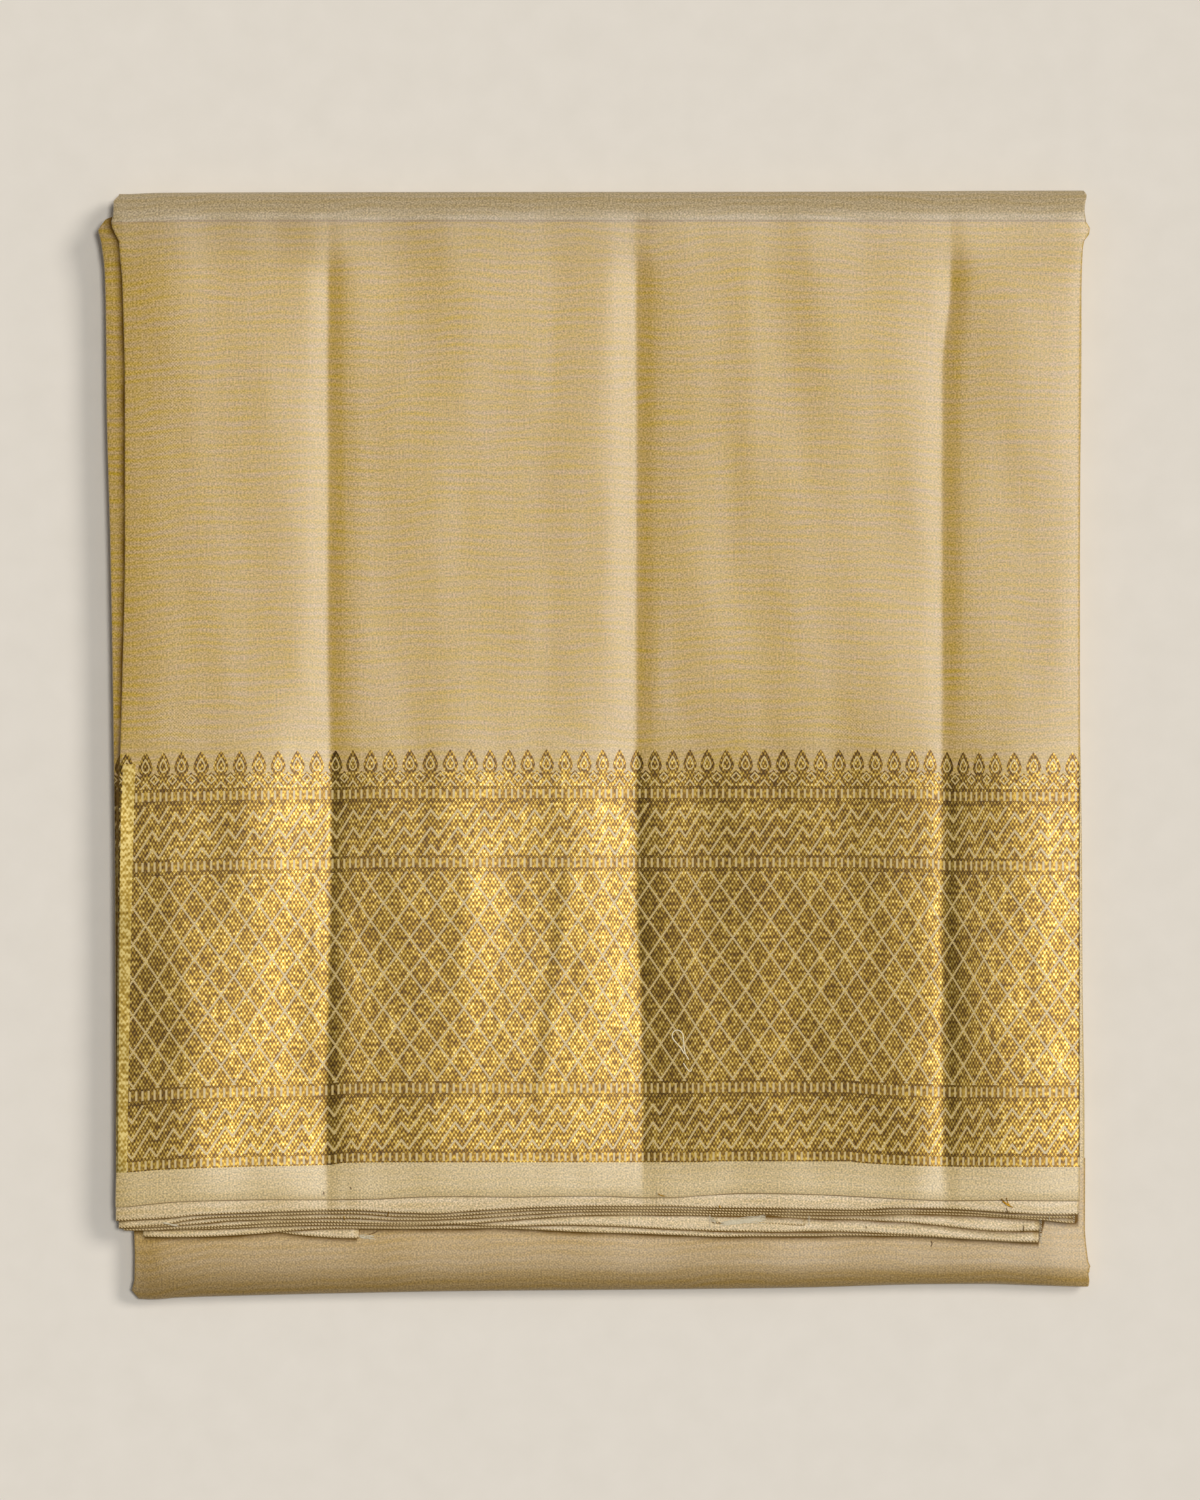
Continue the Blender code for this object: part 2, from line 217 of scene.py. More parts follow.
SIXTH_EDGE = [
    (-213.9, -223.3), (-181.7, -222.9), (-154.1, -221.8), (-126.5, -221), (-89.7, -221.2), (-63.3, -220.8),
    (-42.3, -221.6), (-15.8, -220.9), (5.3, -221.3), (26.5, -222.4), (47.4, -223.4), (64.7, -223.9),
    (85.1, -224.1), (98, -223.8), (122.6, -224.3), (143.1, -225.5), (163.7, -226.9), (179, -227.9),
    (204, -228.8)]
SEVENTH_EDGE = [
    (-207.3, -226.3), (-196.6, -226.6), (-185.5, -226.5), (-172.6, -226), (-155.5, -225), (-138.4, -223.5),
    (-121.2, -222.6), (-89.7, -222.7), (-68.6, -222.7), (-47.5, -222.4), (-26.4, -223.2), (-5.2, -224.2),
    (15.9, -224.8), (37, -225.6), (58.1, -226.4), (75.9, -226.2), (102.1, -226.1), (122.6, -225.8),
    (143.2, -226.2), (163.7, -227.2), (179.1, -228.2), (194.5, -228.9), (204, -229.2)]
EIGHTH_EDGE = [(-145.6, -224.4), (-138.4, -225.4), (-125.9, -226.5), (-117.3, -227), (-109.2, -227.1)]
# a short cut end that lies on the sixth layer
STUB_EDGE = [(52.3, -220.2), (75, -220.4), (98.2, -221.2)]

CREASES = (-122.8, 18.9, 160.1)   # pressed lines that run down the packet
print("packet", round(226 + 221), "mm wide at the fold,", round(255.7 + 255.5), "mm long")

# %% [markdown]
# ## How the front lies
# Three creases press the front into four long panels. Each panel is a very low pillow: a tilt of only three
# or four degrees makes gold thread turn from brown to bright yellow, so the surface is set out by its tilt
# and not by its height. Each table says how steeply the cloth rises (plus) or falls (minus) on the way
# across. A running sum turns that to heights. Most of the border's table was worked back from how bright the
# gold should look at even steps across, so it is a fit and not a measured height. No cloth simulation is
# used, as it would tend to iron out such slight shapes.

# %% Tilt of the cloth across the front
FIELD_TILT = [
    (-219.4, .3), (-215.7, .12), (-209.3, .07), (-200.1, .035), (-193.2, .005), (-163.3, 0), (-142.6, -.01),
    (-135.7, -.03), (-128.3, -.075), (-124.7, -.085), (-122.8, -.02), (-121.4, .1), (-118.2, .12),
    (-114.5, .05), (-109.9, .02), (-102.6, 0), (-78.7, 0), (-76.8, -.012), (-74.1, .02), (-70.4, 0),
    (-43.7, 0), (-25.3, -.01), (-16.1, .01), (-2.3, 0), (4.6, -.02), (12.4, -.075), (17, -.09),
    (18.9, -.02), (20.7, .1), (24.4, .11), (28.1, .05), (33.6, .015), (43.7, .005), (66.7, -.005),
    (75.9, .005), (121.9, 0), (140.3, -.01), (149.5, -.035), (156.9, -.08), (159.2, -.05), (160.5, .06),
    (163.3, .11), (167, .08), (170.7, .02), (179.4, 0), (195.5, -.008), (207, -.014), (213.9, -.03),
    (219.4, -.06), (224, -.12)]
BORDER_TILT = [
    (-221, .3), (-219.8, .12), (-218.4, .055), (-213, .05), (-203.8, .05), (-194.6, .038), (-185.4, .026),
    (-176.2, .005), (-167, -.01), (-157.8, -.023), (-148.6, -.05), (-139.4, -.049), (-130, -.035),
    (-125.6, -.058), (-122.8, -.01), (-121.4, .085), (-118.2, .072), (-111.8, .038), (-102.6, .024),
    (-84.2, .017), (-75, .013), (-65.8, -.005), (-47.4, -.011), (-29, -.004), (-19.8, .002), (-10.6, -.006),
    (-1.4, -.028), (7.8, -.065), (14, -.06), (17, -.04), (18.9, -.02), (20.7, .04), (24.4, .028),
    (28, .018), (35.4, .003), (53.8, .004), (72.2, .003), (81.4, -.003), (99.8, .002), (118.2, .012),
    (127.4, .008), (136.6, .002), (145.8, -.008), (155, -.044), (158.5, -.07), (160.5, .03), (164.2, .089),
    (168, .06), (173.4, .04), (182.6, .024), (191.8, -.007), (201, -.017), (210.2, -.05), (219.4, -.046),
    (224, -.12)]
EDGE_TILT = [
    (-219.4, .2), (-215.7, .08), (-209.3, .03), (-200.1, .01), (-163.3, 0), (-135.7, -.01), (-127.4, -.06),
    (-123.7, -.06), (-121.9, .07), (-119.1, .03), (-115.5, -.04), (-111.8, .03), (-105.3, 0), (-43.7, 0),
    (2.3, -.015), (13.8, -.05), (18.9, -.06), (23, 0), (28.1, .07), (33.6, .02), (48.3, 0), (57.5, -.03),
    (63, .05), (67.6, .01), (108.1, 0), (115, -.03), (118.7, .05), (123.7, .01), (140.3, 0), (149.5, -.03),
    (157.8, -.07), (161.5, 0), (164.2, .08), (170.7, .02), (186.3, 0), (209.3, -.02), (224, -.06)]
ACROSS = np.arange(-232.0, 232.1, 0.25)


def heights(tilt):
    """Heights in mm at ACROSS for a table of tilts, level on average."""
    rise = np.cumsum(along(tilt, ACROSS)) * 0.25
    return rise - rise[(ACROSS > -215) & (ACROSS < 220)].mean()


FIELD_FORM, BORDER_FORM, EDGE_FORM = heights(FIELD_TILT), heights(BORDER_TILT), heights(EDGE_TILT)
for name, form in (("field", FIELD_FORM), ("border", BORDER_FORM), ("edge", EDGE_FORM)):
    print(f"{name}: the pillows rise and fall between {form.min():.1f} and {form.max():.1f} mm")

# %% [markdown]
# Small soft waves lie over the pillows, uneven in length and direction, because handled silk is never
# perfectly flat. They are a sum of a few seeded waves, so they come out the same each time. Extra soft
# ridges are placed one by one, each with its own line, width and height.

# %% Soft waves and single ridges
RIDGES = [
    # across, up at its two ends, half width and height in mm
    ((-11.5, -62), (-23, -154), 2.6, 0.16),
    ((-76, 212), (-75.5, 40), 1.6, 0.05),
    ((72, 220), (70, 20), 6.0, 0.12),
    ((-58, -80), (-62, -150), 9.0, 0.22),
    ((108, -172.5), (112, -171), 2.4, 0.13),
    ((160, -135), (160, -205), 22.0, 0.25),
    ((-116, 8), (-116, -62), 24.0, 0.30),
    ((130, 8), (130, -65), 18.0, 0.20),
    ((-45, -160), (-45, -172), 16.0, 0.2),
    ((19, -130), (19, -195), 10.0, 0.16),
    ((-122, -148), (-122, -165), 10.0, 0.14),
]
WAVES = 14                        # how many single waves make up an uneven one


def waves(across, up, seed, length, height):
    """Gentle uneven waves: `length` mm is their usual size across."""
    rng = np.random.default_rng(seed)
    total = np.zeros(np.broadcast(across, up).shape)
    for _ in range(WAVES):
        size = length * rng.uniform(0.6, 1.8)
        turn = rng.uniform(-0.9, 0.9)
        total += np.sin(2 * np.pi * (across * math.cos(turn) + up * math.sin(turn) * 0.6) / size
                        + rng.uniform(0, 2 * np.pi))
    return total * height / math.sqrt(WAVES)


def ridge(across, up, start, end, width, height):
    """A soft ridge along a line, fading out past its ends."""
    start, end = np.array(start, float), np.array(end, float)
    line = end - start
    size = np.hypot(*line)
    t = ((across - start[0]) * line[0] + (up - start[1]) * line[1]) / size
    off = ((across - start[0]) * line[1] - (up - start[1]) * line[0]) / size
    past = np.maximum(0, np.maximum(-t, t - size))
    return height * np.exp(-(off / width) ** 2 - (past / (3 * width)) ** 2)


# the border's pillows don't run quite straight: place, width, and how far they shift at each height, in mm
LEANS = [(-165, 26, [(-190, 14), (-110, 0), (-30, -20), (10, -22)]),
         (20, 16, [(-190, -2.6), (-120, -2), (-70, 0)])]
TO_FIELD, TO_BORDER = (-35, 55), (-212, -188)      # heights over which one form turns into the next


def leaning(across, up):
    """Where across to read the border's form, with its slanting pillows allowed for."""
    return across + sum(np.exp(-((across - place) / width) ** 2) * along(shift, up)
                        for place, width, shift in LEANS)


def relief(across, up):
    """Height of the front over its base, in mm."""
    across, up = np.asarray(across, float), np.asarray(up, float)
    # the third crease bends 4.2 mm aside near the upper fold
    bent = 4.2 * np.exp(-((across - 160) / 14) ** 2) * ease(170, 215, up)
    field = np.interp(across - bent, ACROSS, FIELD_FORM)
    border = np.interp(leaning(across, up), ACROSS, BORDER_FORM)
    edge = np.interp(across, ACROSS, EDGE_FORM)
    to_field, to_border = ease(*TO_FIELD, up), ease(*TO_BORDER, up)
    lower = to_border * border + (1 - to_border) * (0.3 * border + 0.7 * edge)
    form = (to_field * field + (1 - to_field) * lower) * (1 - 0.8 * ease(212, 232, up))
    form = form + waves(across, up, 4, 46, 0.10) + waves(across, up, 9, 17, 0.018)
    for one in RIDGES:
        form = form + ridge(across, up, *one)
    return form


def flap_top(across, up):
    """Height of the front face, in mm."""
    return along(FLAP_TOP, up) + relief(across, up)


print("front face at its middle:", round(float(flap_top(0.0, 100.0)), 2), "mm up")

# %% [markdown]
# Pressing also leaves the threads of each panel at a slight slant of their own. A hundredth of a radian is
# far too little to see as height, but it changes how gold thread shines, so only the normals have it.

# %% Slant of the threads, panel by panel
FIELD_SLANT = (0.0, 0.004, 0.017, 0.026)
BORDER_SLANT = (-0.027, -0.012, 0.039, 0.02)


def slant(across, up):
    """How far the threads lean from the surface, in radians."""
    field, border = FIELD_SLANT[0] + 0 * across, BORDER_SLANT[0] + 0 * across
    for k, crease in enumerate(CREASES):
        field = field + (FIELD_SLANT[k + 1] - FIELD_SLANT[k]) * ease(crease - 1.5, crease + 1.5, across)
        past = ease(crease - 1.5, crease + 1.5, leaning(across, up))
        border = border + (BORDER_SLANT[k + 1] - BORDER_SLANT[k]) * past
    to_field = ease(*TO_FIELD, up)
    panel = to_field * field + (1 - to_field) * border
    return panel * ease(*TO_BORDER, up) * (1 - ease(215, 238, up))


print("the third panel's border leans", BORDER_SLANT[2], "radians")

# %% [markdown]
# ## Turning a surface into cloth
# Each stretch of cloth is a grid of points on its outer face. A second grid lies one thickness below it and
# the two are joined all round, which makes a closed thin shell: the same thing that a Solidify modifier
# does, but with the grid's own normals kept, so that two stretches that meet at a seam shade as one cloth.
# The grid also carries its weaving measures as UV maps: how far along and across the cloth a point is.

# %% Cloth shells from grids
def grid_normals(points):
    """The direction that each point of a grid faces."""
    across = np.gradient(points, axis=1)
    along_path = np.gradient(points, axis=0)
    normal = np.cross(across, along_path)
    return normal / np.maximum(np.linalg.norm(normal, axis=2, keepdims=True), 1e-12)


def shell_mesh(name, parts, thickness=SHELL):
    """One mesh from parts of (points in mm, normals, {uv map: values}, finish), each made a closed shell."""
    verts, faces, loop_normals, maps, finishes = [], [], [], {}, []
    start = 0
    for points, normals, uvs, finish in parts:
        rows, cols = points.shape[:2]
        count = rows * cols
        uvs = {"tucked": np.ones((rows, cols, 2)), **uvs}
        verts += [points.reshape(-1, 3), (points - normals * thickness).reshape(-1, 3)]
        at = np.arange(count).reshape(rows, cols)
        a, b, c, d = at[:-1, :-1], at[:-1, 1:], at[1:, 1:], at[1:, :-1]
        outer = np.stack([a, b, c, d], 2).reshape(-1, 4)
        ring = np.concatenate([at[0, :], at[1:, -1], at[-1, -2::-1], at[-2:0:-1, 0]])
        ahead = np.roll(ring, -1)
        rim = np.stack([ahead, ring, ring + count, ahead + count], 1)
        inner = outer[:, ::-1] + count
        quads = np.concatenate([outer, inner, rim])
        flat = normals.reshape(-1, 3)
        both = np.concatenate([flat, -flat])
        xyz = np.concatenate(verts[-2:])
        edge = np.cross(xyz[rim[:, 1]] - xyz[rim[:, 0]], xyz[rim[:, 2]] - xyz[rim[:, 0]])
        edge /= np.maximum(np.linalg.norm(edge, axis=1, keepdims=True), 1e-12)
        loop_normals.append(np.concatenate([both[outer].reshape(-1, 3), both[inner].reshape(-1, 3),
                                            np.repeat(edge, 4, 0)]))
        faces.append(quads + start)
        finishes += [finish] * len(quads)
        for key, values in uvs.items():
            twice = np.concatenate([values.reshape(-1, 2)] * 2)
            maps.setdefault(key, []).append(twice[quads].reshape(-1, 2))
        start += 2 * count
    mesh = bpy.data.meshes.new(name)
    mesh.from_pydata((np.concatenate(verts) * MM).tolist(), [], np.concatenate(faces).tolist())
    mesh.shade_smooth()
    mesh.polygons.foreach_set("material_index", finishes)
    for key, values in sorted(maps.items()):
        layer = mesh.uv_layers.new(name=key)
        layer.data.foreach_set("uv", np.concatenate(values).astype(np.float32).ravel())
    mesh.normals_split_custom_set(np.concatenate(loop_normals).tolist())
    return mesh


def show(mesh, finishes, replaces=()):
    """The mesh as a piece of the packet, in its place. Finishes are in the order of its parts' numbers."""
    piece = bpy.data.objects.new(mesh.name, mesh)
    bpy.context.scene.collection.objects.link(piece)
    which = [p.material_index for p in mesh.polygons]
    for one in finishes:
        mesh.materials.append(one)
    mesh.polygons.foreach_set("material_index", which)
    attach(piece, "root")
    if replaces:
        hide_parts(*replaces)
    print(f"{piece.name}: {len(mesh.polygons)} faces")
    return piece


print("cloth shells are", SHELL, "mm thick")

# %% [markdown]
# Across the packet a stretch runs from one folded edge to the other. A folded edge is a half circle, and a
# short leg turns back in under the face, as the real cloth does. Points lie closer together where the cloth
# bends more: at the creases and near the folded edges.

# %% Points across the cloth
def stations():
    """Places across the packet, in mm."""
    spots, x = [], -218.0
    while x < 222.0:
        near = min(abs(x - c) for c in CREASES)
        side = min(x + 220.0, 224.0 - x)
        spots.append(x)
        x += 0.75 if near < 8 or side < 6 else 1.6 if near < 20 or side < 16 else 3.0
    return np.array(spots)


STATIONS = stations()
TURN = np.linspace(0, np.pi, 8)[1:]      # the half circle of a folded edge
LEG = 8.0                                # how far the cloth goes on under the face, in mm


def section(left, right, leg=LEG):
    """Across positions, depths under the face and cloth measures of one line across, in mm."""
    inner = (STATIONS + (left + 219) * (1 - ease(-219, -180, STATIONS))
             + (right - 223) * ease(184, 223, STATIONS))
    low, top = left + LIP, right - LIP        # where the face ends and the two half circles start
    bend, fold = LIP * np.sin(TURN), LIP * (1 - np.cos(TURN))
    back, deep = np.array([leg / 2, leg]), [2 * LIP] * 2
    across = np.concatenate([low + back[::-1], (low - bend)[::-1], [low], inner, [top], top + bend,
                             top - back])
    down = np.concatenate([deep, fold[::-1], [0], 0 * inner, [0], fold, deep])
    round_turn, beyond = LIP * TURN, LIP * np.pi + back
    length = np.concatenate([(low - beyond)[::-1], (low - round_turn)[::-1], [low], inner, [top],
                             top + round_turn, top + beyond])
    return across, down, length


def follow(across, up, high, down):
    """Points that lie `down` mm under rows along a path, and how far along the path each row is."""
    d_up, d_high = np.gradient(up, axis=0), np.gradient(high, axis=0)
    size = np.maximum(np.hypot(d_up, d_high), 1e-9)
    points = np.stack([across, up + down * d_high / size, high - down * d_up / size], 2)
    way = np.cumsum(np.hypot(np.diff(up, axis=0), np.diff(high, axis=0)), axis=0)
    return points, np.concatenate([np.zeros_like(up[:1]), way])


def skin(path, lefts, rights):
    """Grid of a stretch. path(x) gives the up and height of every row at the positions x, all in mm."""
    lines = [section(l, r) for l, r in zip(lefts, rights)]
    across, down, length = (np.array([line[k] for line in lines]) for k in range(3))
    up, high = path(across)
    points, way = follow(across, up, high, down)
    normals = grid_normals(points)
    normals[:, :, 0] -= slant(across, up) * np.maximum(0, normals[:, :, 2])
    return points, normals / np.linalg.norm(normals, axis=2, keepdims=True), length, way, up


print(len(STATIONS), "stations across, closest together at the creases")

# %% [markdown]
# ## The skin, row by row
# The rows run round the packet in the order in which the cloth does. Their share, from 0 to 1, says how far
# along its stretch each one lies. Gold border rows are closer together, since it has the finest pattern.

# %% The skin's rows
STRETCHES = [("edge", 9), ("border", 88), ("field", 82), ("upper", 18), ("under", 42), ("lower", 18),
             ("band", 20)]
SEAM = 2.0                        # where the border meets the field, just past the drops' tips
MIDDLE = 9.7                      # height of the upper fold's axis
PRESSED = (0.16, 0.9)             # depth and half width of the ironed line at the upper fold
FLAP_SPANS = {"edge": (-211, -195), "border": (-195, SEAM), "field": (SEAM, FOLD_LINE)}
PLACE, SHARE, FIRST_ROW = [], [], {}
for stretch, count in STRETCHES:
    FIRST_ROW[stretch] = len(SHARE)
    last = stretch == "band"
    SHARE += list(np.linspace(0, 1, count + 1)[:count + last])
    PLACE += [stretch] * (count + last)
SHARE, PLACE = np.array(SHARE)[:, None], np.array(PLACE)


def band_wave(across, up):
    """Soft shape of the band below the flap: it falls away a little at both ends."""
    return (waves(across, up, 21, 60, 0.09) - 1.5 * ease(205, 236, across) ** 1.3
            - 0.8 * ease(-196, -214, across) ** 1.5)


def dip(far, deep, wide):
    """A soft dip, `deep` at its middle and `wide` to each side of it."""
    return deep * np.exp(-(far / wide) ** 2)


def packet(across):
    """How far up the packet, and how high, every point of the skin is."""
    up, high = np.zeros_like(across), np.zeros_like(across)
    for stretch, _ in STRETCHES:
        rows = PLACE == stretch
        x, t = across[rows], SHARE[rows]
        turn = np.pi * t
        if stretch in FLAP_SPANS:
            edge, foot, level_line = along(FIRST_EDGE, x), along(BORDER_FOOT, x), 0 * x
            low, top = {"edge": (edge, foot), "border": (foot, SEAM + level_line),
                        "field": (SEAM + level_line, FOLD_LINE + level_line)}[stretch]
            y = low + t * (top - low)
            z = flap_top(x, y) - dip(y - edge, 0.45, 1.7) - dip(y - FOLD_LINE, *PRESSED)
        elif stretch == "upper":
            lift = np.where(turn < np.pi / 2, flap_top(x, FOLD_LINE) - MIDDLE, MIDDLE)
            y = FOLD_LINE + (along(UPPER_TIP, x) - FOLD_LINE) * np.sin(turn)
            z = MIDDLE + lift * np.cos(turn) - dip(y - FOLD_LINE, *PRESSED) * (turn < 1)
        elif stretch == "under":
            y = FOLD_LINE + t * (LOWER_TURN - FOLD_LINE)
            z = sum(dip(x - crease, 0.35, 1.3) for crease in CREASES) * np.sin(turn) ** 0.3
        elif stretch == "lower":
            y = LOWER_TURN - (LOWER_TURN - along(LOWER_TIP, x)) * np.sin(turn)
            z = BAND_TOP / 2 * (1 - np.cos(turn)) + band_wave(x, y) * ease(0.4, 1, t)
        else:
            y = LOWER_TURN + t * (BAND_END - LOWER_TURN)
            z = BAND_TOP + band_wave(x, y)
        up[rows], high[rows] = y, z
    return up, high


def nominal():
    """Where the two side edges of every row are."""
    lefts, rights = [], []
    for stretch, t in zip(PLACE, SHARE[:, 0]):
        if stretch in FLAP_SPANS:
            low, top = FLAP_SPANS[stretch]
            y = low + t * (top - low)
            pair = along(FLAP_LEFT, y), along(FLAP_RIGHT, y)
        elif stretch == "upper":
            y = FOLD_LINE + UPPER_REACH * math.sin(np.pi * t)
            back = float(ease(0.5, 1, t))
            pair = (along(UPPER_LEFT, y) * (1 - back) + along(BACK_LEFT, FOLD_LINE) * back,
                    along(UPPER_RIGHT, y) * (1 - back) + along(BACK_RIGHT, FOLD_LINE) * back)
        else:
            y = {"under": FOLD_LINE + t * (LOWER_TURN - FOLD_LINE),
                 "lower": LOWER_TURN - LOWER_REACH * math.sin(np.pi * t),
                 "band": LOWER_TURN + t * (BAND_END - LOWER_TURN)}[stretch]
            pair = along(BACK_LEFT, y), along(BACK_RIGHT, y)
        lefts.append(float(pair[0]))
        rights.append(float(pair[1]))
    return lefts, rights


SKIN, SKIN_NORMALS, SKIN_LENGTH, SKIN_WAY, SKIN_UP = skin(packet, *nominal())
print(f"skin: {len(SKIN)} rows of {SKIN.shape[1]} points, {SKIN_WAY[-1].mean():.0f} mm long")

# %% [markdown]
# The border's pattern is counted, as a weaver counts it: in bars across and in picks up. One bar is one rung
# of the ladder bands, 2.9 mm, and one pick is 0.46 mm. Each pair is a place across and the count there, about
# every sixth bar. Most were read off the front, and the rest are filled in. Where the cloth tilts or is eased
# the bars look a little closer together.

# %% Counting bars and picks
BARS = [
    (-241.4, -10.5), (-224.2, -4.5), (-207, 1.4), (-190.5, 7.4), (-172.6, 13.3), (-155.1, 19.3),
    (-137.5, 25.3), (-119.9, 31.3), (-103.8, 37.3), (-85.7, 43.3), (-67.4, 49.2), (-49.7, 55),
    (-32.7, 60.9), (-15.6, 66.8), (1.6, 72.8), (19.1, 79.45), (35.8, 85.5), (51.7, 91.5), (69.3, 97.5),
    (86.3, 103.45), (103.5, 109.4), (120.3, 115.4), (137.3, 121.4), (153.9, 127.4), (169.3, 133.45),
    (184.1, 139.5), (201.8, 145.5), (219.7, 151.5), (237, 157.5), (254.2, 163.5)]
BAR, DROP_TIP = 2.87, 411         # mm a bar, and picks from the border's foot to the drops' tips
COUNT = 0.01                      # one bar or pick, as the pattern's UV map holds it


def count_pattern(across, up, length):
    """UV map of the bars across and the picks up at each point of the border."""
    bars = along(BARS, across) + (length - across) / BAR
    foot, tip = along(BORDER_FOOT, across), along(BORDER_TIP, across)
    return np.stack([bars, (up - foot) / (tip - foot) * DROP_TIP], 2) * COUNT


def in_metres(first, second):
    """UV map of two measures that are given in mm."""
    return np.stack(np.broadcast_arrays(first, second), 2) * MM


def tucked(out):
    """UV map of how many mm a point lies out from under the layer above it."""
    return in_metres(out, 0)


def stretch_part(first, last, finish=0):
    """Points, normals and UV maps of the skin between two of its rows."""
    rows = slice(first, last + 1)
    across = SKIN[rows][:, :, 0]
    uvs = {"cloth": in_metres(SKIN_LENGTH[rows], SKIN_WAY[rows]),
           "pattern": count_pattern(across, SKIN_UP[rows], SKIN_LENGTH[rows])}
    if first >= FIRST_ROW["lower"]:
        # the layer that ends just above the band is the seventh, but not at its ends or by the eighth
        above = np.where(across < 204.5, along(SEVENTH_EDGE, across), along(FOURTH_EDGE, across))
        above = np.where(across < -207.8, along(FIFTH_EDGE, across), above)
        eighth = np.minimum(above, along(EIGHTH_EDGE, across))
        above = np.where(np.abs(across + 127.4) < 18.6, eighth, above)
        # where the painted shade under the stack falls on the band, and beside the flap's right edge
        uvs["tucked"] = tucked(np.maximum(0.42 * (above - SKIN_UP[rows]), across - 222.3))
    return SKIN[rows], SKIN_NORMALS[rows], uvs, finish


print("rungs across the border:", round(float(np.ptp(along(BARS, [-211, 222])))))

# %% [markdown]
# ## Finishes
# Everything that shows is silk or silk wound with gilt metal. One small function adds a node with its
# settings and links; charts of sums are then worked down line by line, each line naming its result.

# %% One helper for nodes
def node(tree, kind, inputs=(), **settings):
    """Add a node. `inputs` gives its sockets plain values or the sockets that feed them."""
    new = tree.nodes.new(kind)
    for key, value in settings.items():
        setattr(new, key, value)
    for key, value in dict(inputs).items():
        if isinstance(value, bpy.types.NodeSocket):
            tree.links.new(value, new.inputs[key])
        else:
            new.inputs[key].default_value = value
    return new


print("one helper:", node.__doc__)

# %% Charts of sums
SIGNS = {"+": "ADD", "-": "SUBTRACT", "*": "MULTIPLY", "/": "DIVIDE", "**": "POWER", "<": "LESS_THAN",
         ">": "GREATER_THAN", "max": "MAXIMUM", "min": "MINIMUM", "fold": "PINGPONG", "mod": "FLOORED_MODULO"}
WORDS = {"sine": "SINE", "cosine": "COSINE", "floor": "FLOOR", "fract": "FRACT", "size": "ABSOLUTE",
         "root": "SQRT"}


def work(tree, wires, chart):
    """Work down a chart of sums such as `off = bar * 2 + 0.5`, on lines or between semicolons. A term is a
    number or the name of an earlier result. A sum that ends in `clamped` is kept between 0 and 1."""
    wires["tau"] = math.tau
    lines = [line for line in chart.splitlines() if line.strip() and "#" not in line]
    for one in "; ".join(lines).split("; "):
        name, _, *words = one.split()
        clamped = words[-1] == "clamped"
        words = words[:len(words) - clamped]
        if words[0] in WORDS:
            operation, terms = WORDS[words[0]], words[1:]
        elif len(words) == 5:
            operation, terms = "MULTIPLY_ADD", [words[0], words[2], words[3].strip("+") + words[4]]
        else:
            operation, terms = SIGNS[words[1]], words[::2]
        inputs = {k: wires[term] if term in wires else float(term) for k, term in enumerate(terms)}
        new = node(tree, "ShaderNodeMath", inputs, operation=operation, use_clamp=clamped)
        wires[name] = new.outputs[0]


def speckle(tree, over, repeats, detail=2, flat="2D"):
    """Noise over a map, with its repeats per metre each way."""
    spread = node(tree, "ShaderNodeVectorMath", {0: over, 1: repeats}, operation="MULTIPLY")
    return node(tree, "ShaderNodeTexNoise", {"Vector": spread.outputs[0], "Scale": 1, "Detail": detail},
                noise_dimensions=flat).outputs[0]


def blank(name):
    """An empty material, its nodes and its output node."""
    material = bpy.data.materials.new(name)
    material.use_nodes = True
    material.node_tree.nodes.clear()
    return material, material.node_tree, node(material.node_tree, "ShaderNodeOutputMaterial")


print(len(SIGNS) + len(WORDS), "kinds of sum")

# %% Table top
def mottled(name, dark, light, scale, detail=2, **surface):
    """A finish of two shades, mixed by a noise of `scale` repeats a metre."""
    material, tree, end = blank(name)
    grain = node(tree, "ShaderNodeTexNoise", {"Vector": node(tree, "ShaderNodeTexCoord").outputs["Object"],
                                              "Scale": scale, "Detail": detail})
    shades = {0: grain.outputs[0], 6: linear(dark), 7: linear(light)}
    tone = node(tree, "ShaderNodeMix", shades, data_type="RGBA").outputs[2]
    shader = node(tree, "ShaderNodeBsdfPrincipled", {"Base Color": tone, **surface})
    tree.links.new(shader.outputs[0], end.inputs[0])
    return material


board = mottled("matt pale plaster board, rolled", "#e7e4de", "#efece7", 60, 4, Roughness=0.85)
table.data.materials.append(board)
print("table:", board.name)

# %% [markdown]
# ### Plain silk
# The cloth is woven from two shades, a lilac-grey warp and an olive-yellow weft, so it looks greyer or
# yellower as one or the other comes up: in rows, where the weft varies in thickness, and in slow drifts.
# Threads are 0.25 mm on the real cloth. Their over-and-under is drawn as 1.4 mm checks and their grain as
# specks of 0.8 mm, because finer ones would be lost in a render.

# %% The plain weave, shared by all silk
weave = bpy.data.node_groups.new("plain weave", "ShaderNodeTree")
for name in ("Warp", "Weft"):
    weave.interface.new_socket(name, in_out="INPUT", socket_type="NodeSocketColor")
weave.interface.new_socket("Color", in_out="OUTPUT", socket_type="NodeSocketColor")
weave.interface.new_socket("Height", in_out="OUTPUT", socket_type="NodeSocketFloat")
shades, out = node(weave, "NodeGroupInput"), node(weave, "NodeGroupOutput")
cloth = node(weave, "ShaderNodeUVMap", uv_map="cloth").outputs[0]
place = node(weave, "ShaderNodeSeparateXYZ", {0: cloth})
wires = {"u": place.outputs[0], "v": place.outputs[1]}
